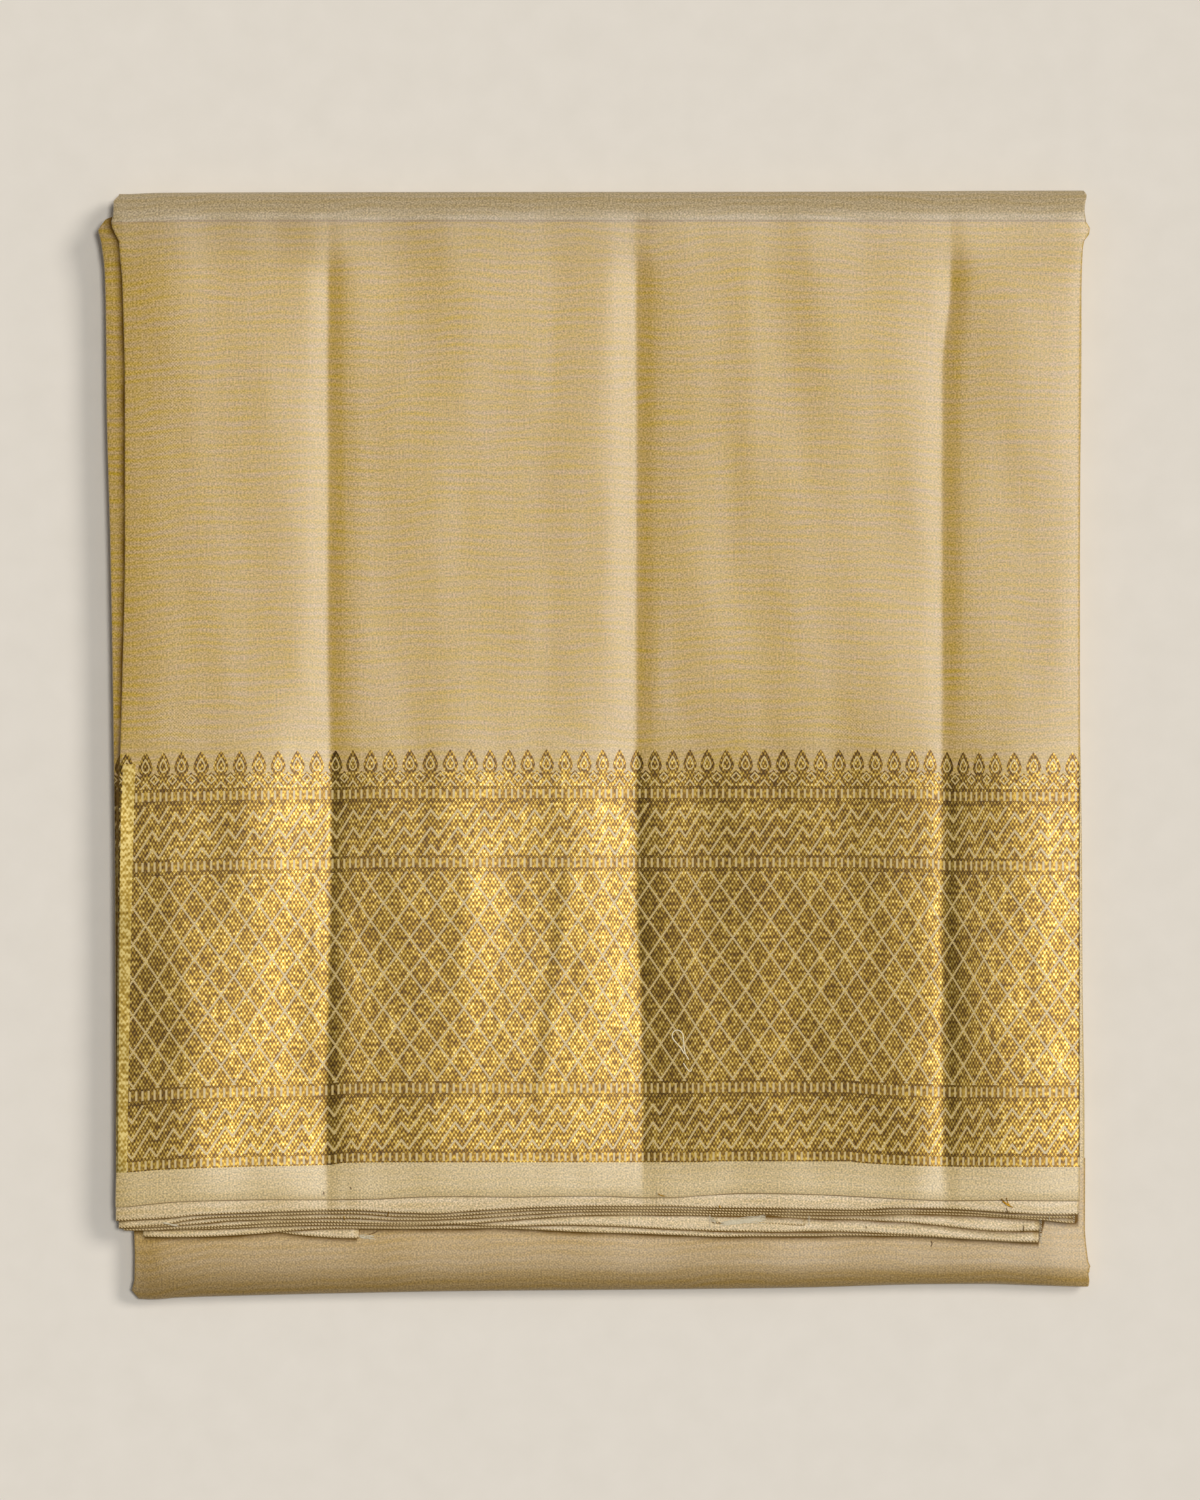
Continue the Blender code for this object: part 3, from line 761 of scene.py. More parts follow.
# rows of thick and thin weft, warp streaks, slow drifts: each with its repeats per metre across and up
for name, repeats, detail in (("rows", (34, 520, 0), 3), ("bands", (15, 150, 0), 2),
                              ("streaks", (500, 14, 0), 2), ("drift", (26, 34, 0), 2),
                              ("moire", (70, 95, 0), 1), ("grain", (1150, 1300, 0), 1)):
    wires[name] = speckle(weave, cloth, repeats, detail)
work(weave, wires, """
    a = u / 0.0014; a = a * tau; warp = sine a; b = v / 0.0014; b = b * tau; weft = sine b
    over = warp * weft; zone = moire * 1.7 - 0.42; zone = zone max 0.12; checks = over * zone
    # how much of the warp shows
    share = rows * 0.7 - 0.825; share = streaks * 0.35 + share; share = drift * 0.2 + share
    share = bands * 0.3 + share; share = checks * 0.35 + share; share = grain * 1.1 + share
    # the beat of thick and thin wefts: wavy stripes 4 mm apart, as in watered silk
    beat = v / 0.004; beat = beat * tau; beat = drift * 11 + beat; beat = sine beat; patch = zone + 0.4
    beat = beat * patch; share = beat * 0.27 + share
    shade = checks * 0.10 + 0.19; shade = rows * 0.08 + shade; shade = grain * 1.5 + shade""")
tone = node(weave, "ShaderNodeMix", {0: wires["share"], 6: shades.outputs["Weft"], 7: shades.outputs["Warp"]},
            data_type="RGBA")
tone = node(weave, "ShaderNodeVectorMath", {0: tone.outputs[2], 1: wires["shade"]}, operation="MULTIPLY")
weave.links.new(tone.outputs[0], out.inputs["Color"])
weave.links.new(wires["over"], out.inputs["Height"])
print("plain weave:", len(weave.nodes), "nodes")

# %% [markdown]
# Where a layer comes out from under the one above it, its first millimetre gets painted shade, a warm brown
# and not grey, because light that reaches a crevice has passed from thread to thread. The gloss there is
# tinted the same brown.

# %% Painted shade where a layer comes out
SHADE_BROWN = "#61440f"
crevice = bpy.data.node_groups.new("painted shade under a layer", "ShaderNodeTree")
crevice.interface.new_socket("Shade under layer", in_out="OUTPUT", socket_type="NodeSocketFloat")
out = node(crevice, "NodeGroupOutput")
tucked_map = node(crevice, "ShaderNodeUVMap", uv_map="tucked").outputs[0]
place = node(crevice, "ShaderNodeSeparateXYZ", {0: tucked_map})
where = node(crevice, "ShaderNodeTexCoord").outputs["Object"]
wires = {"out": place.outputs[0], "uneven": speckle(crevice, where, (60, 60, 60), flat="3D")}
work(crevice, wires, """
    near = out / 0.0012; near = 1 - near clamped; near = near ** 1.3
    much = uneven * 1.2 + 0.4; near = near * much; near = near min 0.95""")
crevice.links.new(wires["near"], out.inputs["Shade under layer"])
print("crevice:", len(crevice.nodes), "nodes")

# %% Silk
# sheen is the fuzz of loose filaments; a strong specular that is wide along the threads is their gloss
GLOSS = {"Specular IOR Level": 1.0, "Anisotropic": 0.62, "Anisotropic Rotation": 0.25, "Sheen Weight": 0.05,
         "Sheen Roughness": 0.4, "Sheen Tint": linear("#fff1dc")}


def glossy(tree, end, rise, deep, surface):
    """Finish with threads' gloss, which lies along the cloth, and with their relief, `deep` metres high."""
    bump = node(tree, "ShaderNodeBump", {"Height": rise, "Distance": deep})
    way = node(tree, "ShaderNodeTangent", direction_type="UV_MAP", uv_map="cloth")
    threads = {"Tangent": way.outputs[0], "Normal": bump.outputs[0]}
    shader = node(tree, "ShaderNodeBsdfPrincipled", {**GLOSS, **threads, **surface})
    tree.links.new(shader.outputs[0], end.inputs[0])


def silk(name, warp, weft, teeth=0.0, worn=None, crease_shade=False):
    """Plain silk: two shades of thread, glossy along one way only because the threads lie that way.
    `teeth` is how strongly the loops of a woven edge, and the painted shade between them, show along its last
    millimetre. `worn` paints shade near a fold, where the cloth turns away from the light: where it lies, how
    far it reaches, how much, and how much more to the right, in metres. `crease_shade` paints a thin line of
    shade along the crease where the upper fold was ironed."""
    material, tree, end = blank(name)
    woven = node(tree, "ShaderNodeGroup", {"Warp": linear(warp), "Weft": linear(weft)}, node_tree=weave)
    painted_shade = node(tree, "ShaderNodeGroup", node_tree=crevice).outputs["Shade under layer"]
    spot = node(tree, "ShaderNodeSeparateXYZ", {0: node(tree, "ShaderNodeTexCoord").outputs["Object"]})
    cloth = node(tree, "ShaderNodeUVMap", uv_map="cloth").outputs[0]
    place = node(tree, "ShaderNodeSeparateXYZ", {0: cloth})
    wires = {"x": spot.outputs[0], "y": spot.outputs[1], "u": place.outputs[0], "v": place.outputs[1]}
    # the first tone is the painted shade under the layer above
    layers = [(painted_shade, SHADE_BROWN)]                   # tones laid over the weave, each with how much of it shows
    shade = painted_shade
    if worn:
        middle, reach, much, right = worn
        wires |= {"middle": middle, "reach": reach, "much": much, "slope": right * much}
        work(tree, wires, """
            far = y - middle; far = size far; far = far / reach; worn = 1 - far clamped
            much = x * slope + much; end = 0.226 - x; end = end / 0.02 clamped
            worn = worn * much; worn = worn * end""")
        # the dark grey-brown of the painted shade near the fold
        layers.append((wires["worn"], "#3d3228"))
    if crease_shade:
        work(tree, wires, """
            # the line reaches 0.8 mm each way and is broken every 1.24 mm; its left end sinks and fades
            off = y - 0.2413; left = -0.19 - x; left = left / 0.025 clamped; line = left * 0.0008 + off
            line = size line; line = line / 0.0008; line = 1 - line clamped
            gap = x / 0.00124; gap = gap * tau; gap = sine gap; gap = gap * 0.15 + 0.62
            line = line * gap; left = left * -0.7 + 1.0; line = line * left""")
        # the line is painted shade along the ironed crease, in dark brown
        layers.append((wires["line"], "#7a5316"))
    if teeth:
        wires |= {"teeth": teeth, "uneven": speckle(tree, cloth, (22, 0, 0), 3, "3D")}
        work(tree, wires, """
            # slanting loops 1.45 mm apart, and a dark last quarter of a millimetre
            slant = v * 650; turn = u / 0.00145; turn = turn + slant; turn = fract turn; gap = turn > 0.5
            near = v < 0.0008; last = v < 0.00025; gap = gap * near; gap = gap max last
            strong = uneven * 1.6 + 0.2; strong = strong * teeth; gap = gap * strong; gap = gap min 0.92
            loop = near * strong""")
        # the loops are the woven edge's own pattern; the gaps between them and the dark last quarter
        # millimetre are painted shade, in the same brown as under a layer
        layers += [(wires["loop"], "#e6cf98"), (wires["gap"], SHADE_BROWN)]
        shade = node(tree, "ShaderNodeMath", {0: painted_shade, 1: wires["gap"]}, operation="MAXIMUM").outputs[0]
    tone = woven.outputs["Color"]
    for much, tint in layers:
        tone = node(tree, "ShaderNodeMix", {0: much, 6: tone, 7: linear(tint)}, data_type="RGBA").outputs[2]
    # the gloss is tinted brown wherever there is painted shade
    gleam = node(tree, "ShaderNodeMix", {0: shade, 6: (1, 1, 1, 1), 7: linear(SHADE_BROWN)}, data_type="RGBA")
    glossy(tree, end, woven.outputs["Height"], 0.000012, {
        "Base Color": tone, "Roughness": 0.40, "IOR": 1.5, "Specular Tint": gleam.outputs[2]})
    return material


WARP, WEFT = "#bb9f72", "#c1a008"
UPPER, LOWER = 0.2405, -0.2515            # where the painted shade along the two folds lies, in metres
field_silk = silk("plain woven silk, calendered to a gloss", WARP, WEFT, worn=(UPPER, 0.026, 0.15, -2.5),
                  crease_shade=True)
# round the upper fold the silk's shades are greyed, as painted sheen of the fold turning away at a grazing
# angle
fold_silk = silk("plain woven silk round a fold, greyed as painted sheen", "#b9a888", "#b29c68", worn=(UPPER, 0.026, 0.09, -2.5),
                 crease_shade=True)
edge_silk = silk("plain woven silk of the selvedge, pale", "#c8b382", "#c6ae70", teeth=0.35)
toothed_silk = silk("woven edge with its weft loops", "#d3bf99", "#cab070", teeth=0.85)
# a darker copy of the silk, as painted shade inside the packet
inner_silk = silk("plain woven silk between the layers", "#b2976a", "#a58740")
# the back half's silk is a darker copy, as painted shade on the band below the flap, and it is painted darker
# still round the lower fold
back_silk = silk("plain woven silk, darker, in painted shade along the fold", "#b2965f", "#ae8b2b",
                 worn=(LOWER, 0.024, 0.38, -0.6))
print("silks:", [m.name for m in bpy.data.materials if "silk" in m.name])

# %% [markdown]
# ### The gold border
# Gold thread here is silk wound with a fine gilt strip. It floats over the silk in little dots set in a
# twill, and it is left out along the figures, so these are plain smooth silk. That is why the figures look
# pale where the cloth is dark, and dark where the gold flashes. The pattern is charted in bars and picks:
# rung bands, dotted lines, zigzags, a diamond lattice, and a row of drops with small diamonds between them.
# The gold's dots are 1.0 mm apart in rows 1.3 mm apart on such cloth, and they are drawn 1.65 mm apart in
# rows 1.4 mm apart so that they show.

# %% Chart of the border
chart = bpy.data.node_groups.new("border chart", "ShaderNodeTree")
OUTLETS = {"Figure": "figure", "Plain": "plain", "Dark": "dot", "Satin": "satin", "Shine": "twill"}
for name in OUTLETS:
    chart.interface.new_socket(name, in_out="OUTPUT", socket_type="NodeSocketFloat")
out = node(chart, "NodeGroupOutput")
counted = node(chart, "ShaderNodeUVMap", uv_map="pattern").outputs[0]
place = node(chart, "ShaderNodeSeparateXYZ", {0: counted})
PICK = 0.46                               # mm a pick
wires = {"u": place.outputs[0], "v": place.outputs[1], "count": COUNT, "calm": 1.0, "tip": DROP_TIP,
         "dots": math.tau * BAR / 1.65, "rows": math.pi * PICK / 1.4}
work(chart, wires, """
    # bars and picks, each taken at the middle of its thread
    bars = u / count; picks = v / count; ends = bars * 6; ends = floor ends; ends = ends + 0.5; bar = ends / 6
    pick = floor picks; pick = pick + 0.5
    # rungs
    foot = picks < 11; off = foot * 0.5 + bar; off = off fold 0.5; rung = off < 0.2
    # zigzag: a long stroke up, a short one down, repeated every four bars and 17.6 picks
    high = pick > 190; low = 1 - high; z = low * -3.6 + bar; z = z + 0.3; z = z mod 4; rise = z * 9.24
    fall = z * -8.36 + 51.05; stroke = rise min fall; base = high * 294.5 + 30.8; off = picks - base
    off = off - stroke; off = off fold 8.8; zigzag = off < 1.65
    # lattice
    half = bar * 0.5 - 0.75; tall = picks - 277; tall = tall / 17.6; p = half + tall; q = half - tall
    p = p fold 1; q = q fold 1; off = p min q; lattice = off < 0.082
    # drops: how far out a point is in its drop, 1 at the rim
    side = bars - 1.5; side = side fold 1.5; side = side * 6.24; wide = side / 7.3; up = picks - 397.5
    above = up / 15; below = up / 9; top = up > 0; above = size above; above = above ** 1.3
    wider = wide ** 1.3; above = above + wider; above = above ** 0.76923; below = below ** 2
    below = wide * wide + below; below = root below; diff = above - below; drop = diff * top + below
    off = drop - 0.5; off = size off; ring = off < 0.075; inside = drop < 1.0; outside = 1 - inside
    rim = drop > 0.61; rim = rim * inside
    # small diamonds between the drops, and pointed peaks under them
    aside = 9.36 - side; aside = aside / 5; off = picks - 385; off = size off; off = off / 5
    gem = aside + off; off = gem - 0.86; off = size off; gem_ring = off < 0.17; gem_near = gem < 1.4
    gem_rim = gem > 1.0; gem_rim = gem_rim * gem_near; rim = rim max gem_rim; aside = side / 6
    off = picks - 376; peak = off / 7; peak = peak + aside; off = peak - 0.86; off = size off
    peak_line = off < 0.16
    # plain silk between the drops and above the gems
    over = picks > 389.5; open = over * outside; gem_out = 1 - gem_near; plain = open * gem_out
    # dotted lines
    tick = bars * 3; tick = fract tick; tick = tick < 0.5; line = picks * 0.5; line = fract line
    line = line < 0.5; dot = tick - line; dot = size dot""")
RUNGS = [(1.5, 9.5), (69.5, 79), (295, 304), (364, 373)]
BANDS = {"rung": RUNGS, "calm": RUNGS, "zigzag": [(13, 65), (307, 359)], "lattice": [(81.5, 290.5)],
         "dot": [(0, 1.5), (9.5, 13), (65, 69.5), (79, 81.5), (290.5, 295), (304, 307), (359, 364),
                 (373, 376)],
         "gem_ring": [(377, 391)], "peak_line": [(376, 383)], "ring": [(388, 412)], "rim": [(376, 413)]}
for name, spans in BANDS.items():
    wires["band"] = 0.0
    for low, high in spans:
        work(chart, wires, f"in = picks > {low}; to = picks < {high}; in = in * to; band = band max in")
    work(chart, wires, f"{name} = {name} * band")
work(chart, wires, """
    figure = rung + zigzag; figure = figure + lattice; figure = figure max gem_ring
    figure = figure max peak_line; figure = figure max ring; rim = rim * 0.45; dot = dot max rim
    # a strip of unfigured gold, twelve ends wide, runs up the left, nearer to the edge at its foot
    off = picks / tip; off = 1 - off; off = off max 0; off = off ** 0.7; off = off * 1.5 + bars
    off = off + 0.98; off = size off; satin = off < 0.98; under = picks < 402; satin = satin * under
    not = 1 - satin; calm = calm max satin; figure = figure * not; plain = plain * not; dot = dot * not
    # the gold's own dots, each row half a step on from the last. The rungs' gold is calmer
    a = bars * dots; b = picks * rows; a = cosine a; b = cosine b; twill = a * b
    calm = calm * -0.22 + 0.38; twill = twill * calm + 0.46""")
for name, source in OUTLETS.items():
    chart.links.new(wires[source], out.inputs[name])
print("border chart:", len(chart.nodes), "nodes")

# %% The border's finish
gold_border, tree, end = blank("gilt thread brocaded on silk, drawn wire wound on a silk core")
figures = node(tree, "ShaderNodeGroup", node_tree=chart)
woven = node(tree, "ShaderNodeGroup", {"Warp": linear(WARP), "Weft": linear(WEFT)}, node_tree=weave)
cloth = node(tree, "ShaderNodeUVMap", uv_map="cloth").outputs[0]
wires = {name.lower(): figures.outputs[name] for name in OUTLETS}
wires |= {"glint": speckle(tree, cloth, (380, 640, 0), 0), "patch": speckle(tree, cloth, (45, 70, 0))}
# the brown between the gilt dots is painted shade between the threads; the dots' pattern and their tops'
# colour are the gilt's own
work(tree, wires, """
    # t goes from the brown between the gilt dots to their tops
    t = glint * 0.7 - 0.5; t = t + shine; t = patch * 0.3 + t; t = dark * -0.27 + t; t = satin * 0.35 + t
    silk = figure max plain; gilt = 1 - silk; metal = gilt * 0.96; rough = silk * -0.03 + 0.43
    rise = shine * gilt; lacquer = gilt * 0.2""")
gilt = node(tree, "ShaderNodeValToRGB", {0: wires["t"]})
gilt.color_ramp.interpolation = "EASE"
gilt.color_ramp.elements[0].position, gilt.color_ramp.elements[0].color = 0.08, linear("#47300a")
gilt.color_ramp.elements[1].position, gilt.color_ramp.elements[1].color = 1.0, linear("#dac57e")
for spot, tint in ((0.40, "#745719"), (0.7, "#a98c37")):
    gilt.color_ramp.elements.new(spot).color = linear(tint)
ground = woven.outputs["Color"]
painted_shade = node(tree, "ShaderNodeGroup", node_tree=crevice).outputs["Shade under layer"]
tone = linear("#cbb67b")
for much, under in ((0.75, ground), (wires["figure"], ground), (wires["silk"], gilt.outputs[0])):
    tone = node(tree, "ShaderNodeMix", {0: much, 6: under, 7: tone}, data_type="RGBA").outputs[2]
# painted shade where the border comes out from under the layer above, as on the plain silk
tone = node(tree, "ShaderNodeMix", {0: painted_shade, 6: tone, 7: linear(SHADE_BROWN)}, data_type="RGBA").outputs[2]
# gilt wire runs across the cloth, so it shines in a narrow band across and a wide one up and down, and the
# clear lacquer that keeps it from tarnishing makes the brightest places paler
glossy(tree, end, wires["rise"], 0.000011, {
    "Base Color": tone, "Metallic": wires["metal"], "Roughness": wires["rough"],
    "Coat Weight": wires["lacquer"], "Coat Roughness": 0.3})
print("border:", gold_border.name)

# %% [markdown]
# ## The stretches of the top layer
# The skin is cut into the stretches that the packet is listed in. Each one stands for the solid of the same
# place, rides with the packet, and has its flat size noted: the size it would have if it were smoothed out
# flat.

# %% Top layer, upper fold, underside and lower fold
SHEETS = []


def lay(name, parts, finishes, replaces, rests_on):
    """Make a stretch of cloth and note its flat size: its widest part, and the length that gives its area."""
    piece = show(shell_mesh(name, parts), finishes, replaces)
    maps = [part[2]["cloth"] for part in parts]
    sizes = [[float(np.ptp(one[:, :, way], axis=1 - way).mean()) for way in (0, 1)] for one in maps]
    widest = max(wide for wide, _ in sizes)
    flat = (widest, sum(wide * long for wide, long in sizes) / widest)
    SHEETS.append({"piece": piece, "flat": flat, "rests_on": rests_on, "with": []})
    return SHEETS[-1]


START = {**FIRST_ROW, "end": len(SHARE) - 1}
laid = {}
for name, first, last, finish, slot, solid, rests_on in (
        ("cloth_front_edge", "edge", "border", edge_silk, "silk", "front_selvedge", "second_layer"),
        ("cloth_front_border", "border", "field", gold_border, "gold_border", "front_border", "second_layer"),
        ("cloth_front_field", "field", "upper", field_silk, "silk", "front_field", "second_layer"),
        ("cloth_upper_fold", "upper", "under", fold_silk, "silk", "upper_fold", "hidden_layers"),
        ("cloth_underside", "under", "lower", back_silk, "silk", "underside", "table"),
        ("cloth_lower_fold", "lower", "end", back_silk, "silk", "lower_fold", "hidden_layers")):
    part = stretch_part(START[first], START[last])
    laid[first] = lay(name, [part], [finish], [solid], [rests_on])

# %% [markdown]
# The second layer lies right under the first. It pokes out along the left, where its own border shows, and
# its plain edge shows below the first one.

# %% Second layer
SECOND_RIGHT = [(-220, 222.6), (242, 222.0)]
SECOND_TIP = 243.4                # its upper end, inside the upper fold
SECOND_ROWS = np.concatenate([np.linspace(0, 0.045, 9), np.linspace(0.06, 0.975, 82),
                              np.linspace(0.98, 1, 7)])
SECOND_FROM_EDGE = (0, 11, 48, len(SECOND_ROWS) - 1)      # where its edge, border and field start and end


def second_top(across, up):
    """The second layer follows 1.32 mm under the first, and falls off where it pokes out."""
    inside = np.clip(across, along(FLAP_LEFT, up) + 0.4, 222.8)
    out = inside - across
    return flap_top(inside, up) - 1.32 - 0.10 * out - 0.006 * np.maximum(0, out) ** 2


def second_path(across):
    """How far up, and how high, the second layer's rows are."""
    low = along(SECOND_EDGE, across)
    up = low + SECOND_ROWS[:, None] * (SECOND_TIP - low)
    return up, second_top(across, up) - dip(up - low, 0.4, 1.6)


middle = -215 + SECOND_ROWS * (SECOND_TIP + 215)
grid, normals, length, way, up = skin(second_path, along(SECOND_LEFT, middle), along(SECOND_RIGHT, middle))
parts = []
for number, (a, b) in enumerate(zip(SECOND_FROM_EDGE, SECOND_FROM_EDGE[1:])):
    rows = slice(a, b + 1)
    across = grid[rows][:, :, 0]
    # the tucked map places painted shade below the front layer's edge and, wider, beside its left edge
    uvs = {"cloth": in_metres(length[rows], way[rows]),
           "pattern": count_pattern(across, up[rows] - 0.6, length[rows] + 2.1),
           "tucked": tucked(np.maximum(1.8 * (along(FIRST_EDGE, across) - up[rows]),
                                       0.3 * (along(FLAP_LEFT, up[rows]) - across)))}
    parts.append((grid[rows], normals[rows], uvs, number))
print("second layer's border from", *(round(float(up[row].mean())) for row in SECOND_FROM_EDGE[1:3]), "mm")
second = lay("cloth_second_layer", parts, [toothed_silk, gold_border, field_silk], ["second_layer"],
             ["hidden_layers"])

# %% [markdown]
# Below it the other layers of the flap step out by a millimetre or two each. Only their woven edges show, as
# rows of tiny slanted teeth: the loops where the weft turns back.

# %% Stepped woven edges
FACE_FOOT = -205.0                # below this the front face is taken to go on level


def level(share, across, up):
    """Height between the band below the flap (0) and the front face (1)."""
    low = BAND_TOP + SHELL
    return low + (flap_top(across, up) - low) * share


# how soon the shade under each layer ends: it goes on for longer at the right, where the stack gapes
GAPE = [(-219, 1.0), (-150, 0.8), (-60, 0.8), (40, 0.9), (90, 0.5), (204, 0.45)]


def strip_part(edge, above, share, left, right, deep=24.0, curl=0.35, seed=0, finish=0):
    """A layer's woven edge: `deep` mm of cloth that runs up under the layers above."""
    across = np.linspace(left, right, max(8, int((right - left) / 1.8)))
    down = np.array([0, 0.25, 0.6, 1.1, 1.8, 3, 5, 8, 12, 18, 24]) * deep / 24
    x = np.repeat(across[None, :], len(down), 0)
    up = along(edge, across)[None, :] + down[:, None]
    high = level(share, x, np.maximum(up, FACE_FOOT)) + waves(x, up, 40 + seed, 34, 0.10)
    high -= curl * np.exp(-down[:, None] / 1.2)
    high -= 0.8 * (np.exp((across[0] - x) / 0.9) + np.exp((x - across[-1]) / 0.9))
    points = np.stack([x, up, high], 2)
    # the tucked map places painted shade below the edge of the layer above
    uvs = {"cloth": in_metres(x + 3.1 * seed, down[:, None]),
           "tucked": tucked(along(GAPE, x) * (along(above, x) - up))}
    return points, grid_normals(points), uvs, finish


woven_edges = [
    ("cloth_third_edge", "third_selvedge", [
        strip_part(THIRD_EDGE, SECOND_EDGE, 0.60, -219.2, 220.0, seed=1),
        strip_part(FOURTH_EDGE, THIRD_EDGE, 0.51, -219.2, 220.2, seed=2)]),
    ("cloth_fourth_edge", "fourth_selvedge", [
        strip_part(FIFTH_EDGE, FOURTH_EDGE, 0.42, -217.0, 204.8, seed=3),
        strip_part(SIXTH_EDGE, FIFTH_EDGE, 0.31, -214.2, 204.3, seed=4)]),
    ("cloth_lowest_edge", "lowest_selvedge", [
        strip_part(SEVENTH_EDGE, SIXTH_EDGE, 0.20, -208.0, 204.0, seed=5),
        strip_part(EIGHTH_EDGE, SEVENTH_EDGE, 0.10, -146.0, -108.8, 16, seed=6),
        strip_part(STUB_EDGE, FIFTH_EDGE, 0.37, 52.3, 98.2, 14, seed=7)])]
stepped = [lay(name, parts, [toothed_silk], [solid], ["hidden_layers"])
           for name, solid, parts in woven_edges]

# %% [markdown]
# ## Folded edges at the sides
# From the side the packet is a stack of folded edges, nested like the pages of a booklet: each layer runs
# up the flap, round the upper fold, back along the table and round the lower fold. Five nested lips stand
# for them at each side, uneven as a hand leaves them. One solid body fills the middle, which never shows.

# %% Nested lips and the body inside
TIER, TIERS = 1.25, 5             # height of a folded layer, and how many are nested
NESTED_FOOT, CORE_FOOT = -196, -184       # lower ends of the flap's nested edges and of the solid middle


def round_the_folds(half, flap, back, band, reaches):
    """Up and height of a path up the flap, round the upper fold, back and round the lower fold. Flap, back
    and band are (up, height) pairs, `half` holds the angles of a half circle, and `reaches` says how far
    each fold sticks out."""
    (down, top), (flat, low), (rest, high) = flap, back, band
    up = np.concatenate([down, FOLD_LINE + reaches[0] * np.sin(half), flat,
                         LOWER_TURN - reaches[1] * np.sin(half), rest])
    fold = (top[-1] + low) / 2 + (top[-1] - low) / 2 * np.cos(half)
    turn = (low + high) / 2 - (high - low) / 2 * np.cos(half)
    return up, np.concatenate([top, fold, np.full(len(flat), low), turn, np.full(len(rest), high)])


def lip_part(side, tier, seed):
    """A folded edge: a narrow shell bent round in a U, that follows its nested path round the packet. The
    last tier is the flap's own innermost fold, which turns back just above the back half."""
    rng = np.random.default_rng(seed)
    innermost = tier == TIERS - 1
    drop, inward = 1.34 + TIER * tier, TIER * (tier + 1)      # mm under the face, and in from the outside
    flap_up = np.linspace(NESTED_FOOT, FOLD_LINE, 60)[:-1]
    half = np.linspace(0, np.pi, 15)
    lowest = float(along(LOWER_TIP, 222.0 * side))
    flap_edge = along(FLAP_LEFT if side < 0 else FLAP_RIGHT, flap_up) - 0.5 * side
    up, high = round_the_folds(
        half, (flap_up, flap_top(np.clip(flap_edge, -217.8, 222.0), flap_up) - drop),
        (np.linspace(FOLD_LINE, LOWER_TURN, 45)[1:-1], BAND_TOP - 1.0 if innermost else inward),
        (np.linspace(LOWER_TURN, FOLD_LINE - 8, 50)[1:], BAND_TOP - inward),
        (14.6 - 1.3 * (tier + 1), LOWER_TURN - lowest - 1.6 - TIER * tier))
    # from the flap's own edge it eases over to the back half's, and it wanders a little on the way
    flap_rows, number = len(flap_up), np.arange(len(up))
    mix = ease(flap_rows, flap_rows + 14, number)
    edge = flap_edge[-1] * (1 - mix) + along(BACK_LEFT if side < 0 else BACK_RIGHT, up) * mix
    edge[:flap_rows] = flap_edge
    wander = sum(np.sin(number * rng.uniform(0.05, 0.4) + rng.uniform(0, 6)) for _ in range(4)) / 4
    edge -= side * (0.35 + 0.55 * rng.uniform(0, 1) + 0.5 * wander)
    fall = np.minimum(band_wave(edge, up), band_wave(edge - 6 * side, up)) - 0.3
    high = high + np.minimum(fall, 0) * ease(len(up) - 60, len(up) - 52, number)
    if innermost:
        # it ends on its way back, at the foot of the flap
        keep = flap_rows + len(half) + int((up[flap_rows + len(half):][:43] > NESTED_FOOT).sum())
        up, high, edge = up[:keep], high[:keep], edge[:keep]
    radius, leg = 0.52, 6.0
    bend = radius * np.sin(TURN)
    out = edge[:, None] - side * radius
    x = np.hstack([out - side * leg, out - side * leg / 2, out, out + side * bend[None, :],
                   out - side * leg / 2, out - side * leg])
    depth = np.concatenate([[0, 0, 0], radius * (1 - np.cos(TURN)), [2 * radius] * 2])
    beyond = leg + radius * np.pi
    length = np.concatenate([[0, leg / 2, leg], leg + radius * TURN, [beyond + leg / 2, beyond + leg]])
    if side < 0:
        x, depth = x[:, ::-1], depth[::-1]
    points, way = follow(x, up[:, None], high[:, None], depth)
    return points, grid_normals(points), {"cloth": in_metres(length + 9 * tier, way)}, 0


# the right side's lips take the paler selvedge silk as painted light, where the side light falls on them; the
# left ones keep the darker back silk
for name, side, finish in (("folded_edges_left", -1, back_silk), ("folded_edges_right", 1, edge_silk)):
    tiers = [lip_part(side, tier, 70 + 10 * (side > 0) + tier) for tier in range(TIERS)]
    lay(name, tiers, [finish], ["hidden_layers"], ["underside"])


def core():
    """The solid middle: a loop of points in the up and height plane at each station across."""
    across = np.linspace(-211, 218, 60)
    flap_up = np.linspace(CORE_FOOT, FOLD_LINE, 40)
    half = np.linspace(0, np.pi, 12)[1:-1]
    rings = []
    for x in across:
        up, high = round_the_folds(
            half, (flap_up, flap_top(x, flap_up) - 3.2), ([FOLD_LINE, LOWER_TURN], 0.8),
            ([LOWER_TURN, CORE_FOOT], 9.2), (12.4, LOWER_TURN - float(along(LOWER_TIP, x)) - 2.4))
        rings.append(np.stack([np.full(len(up), x), up, high], 1))
    rings = np.array(rings)
    count = rings.shape[1]
    faces = [[i * count + j, i * count + count + j, i * count + count + (j + 1) % count,
              i * count + (j + 1) % count] for i in range(len(across) - 1) for j in range(count)]
    faces += [list(range(count)), [(len(across) - 1) * count + j for j in reversed(range(count))]]
    mesh = bpy.data.meshes.new("layers_inside")
    mesh.from_pydata((rings.reshape(-1, 3) * MM).tolist(), [], faces)
    cloth, out = (mesh.uv_layers.new(name=key) for key in ("cloth", "tucked"))
    for k, loop in enumerate(mesh.loops):
        spot = mesh.vertices[loop.vertex_index].co
        cloth.data[k].uv = (spot.x + spot.z, spot.y + spot.z / 2)
        out.data[k].uv = (1.0, 0.0)
    return mesh


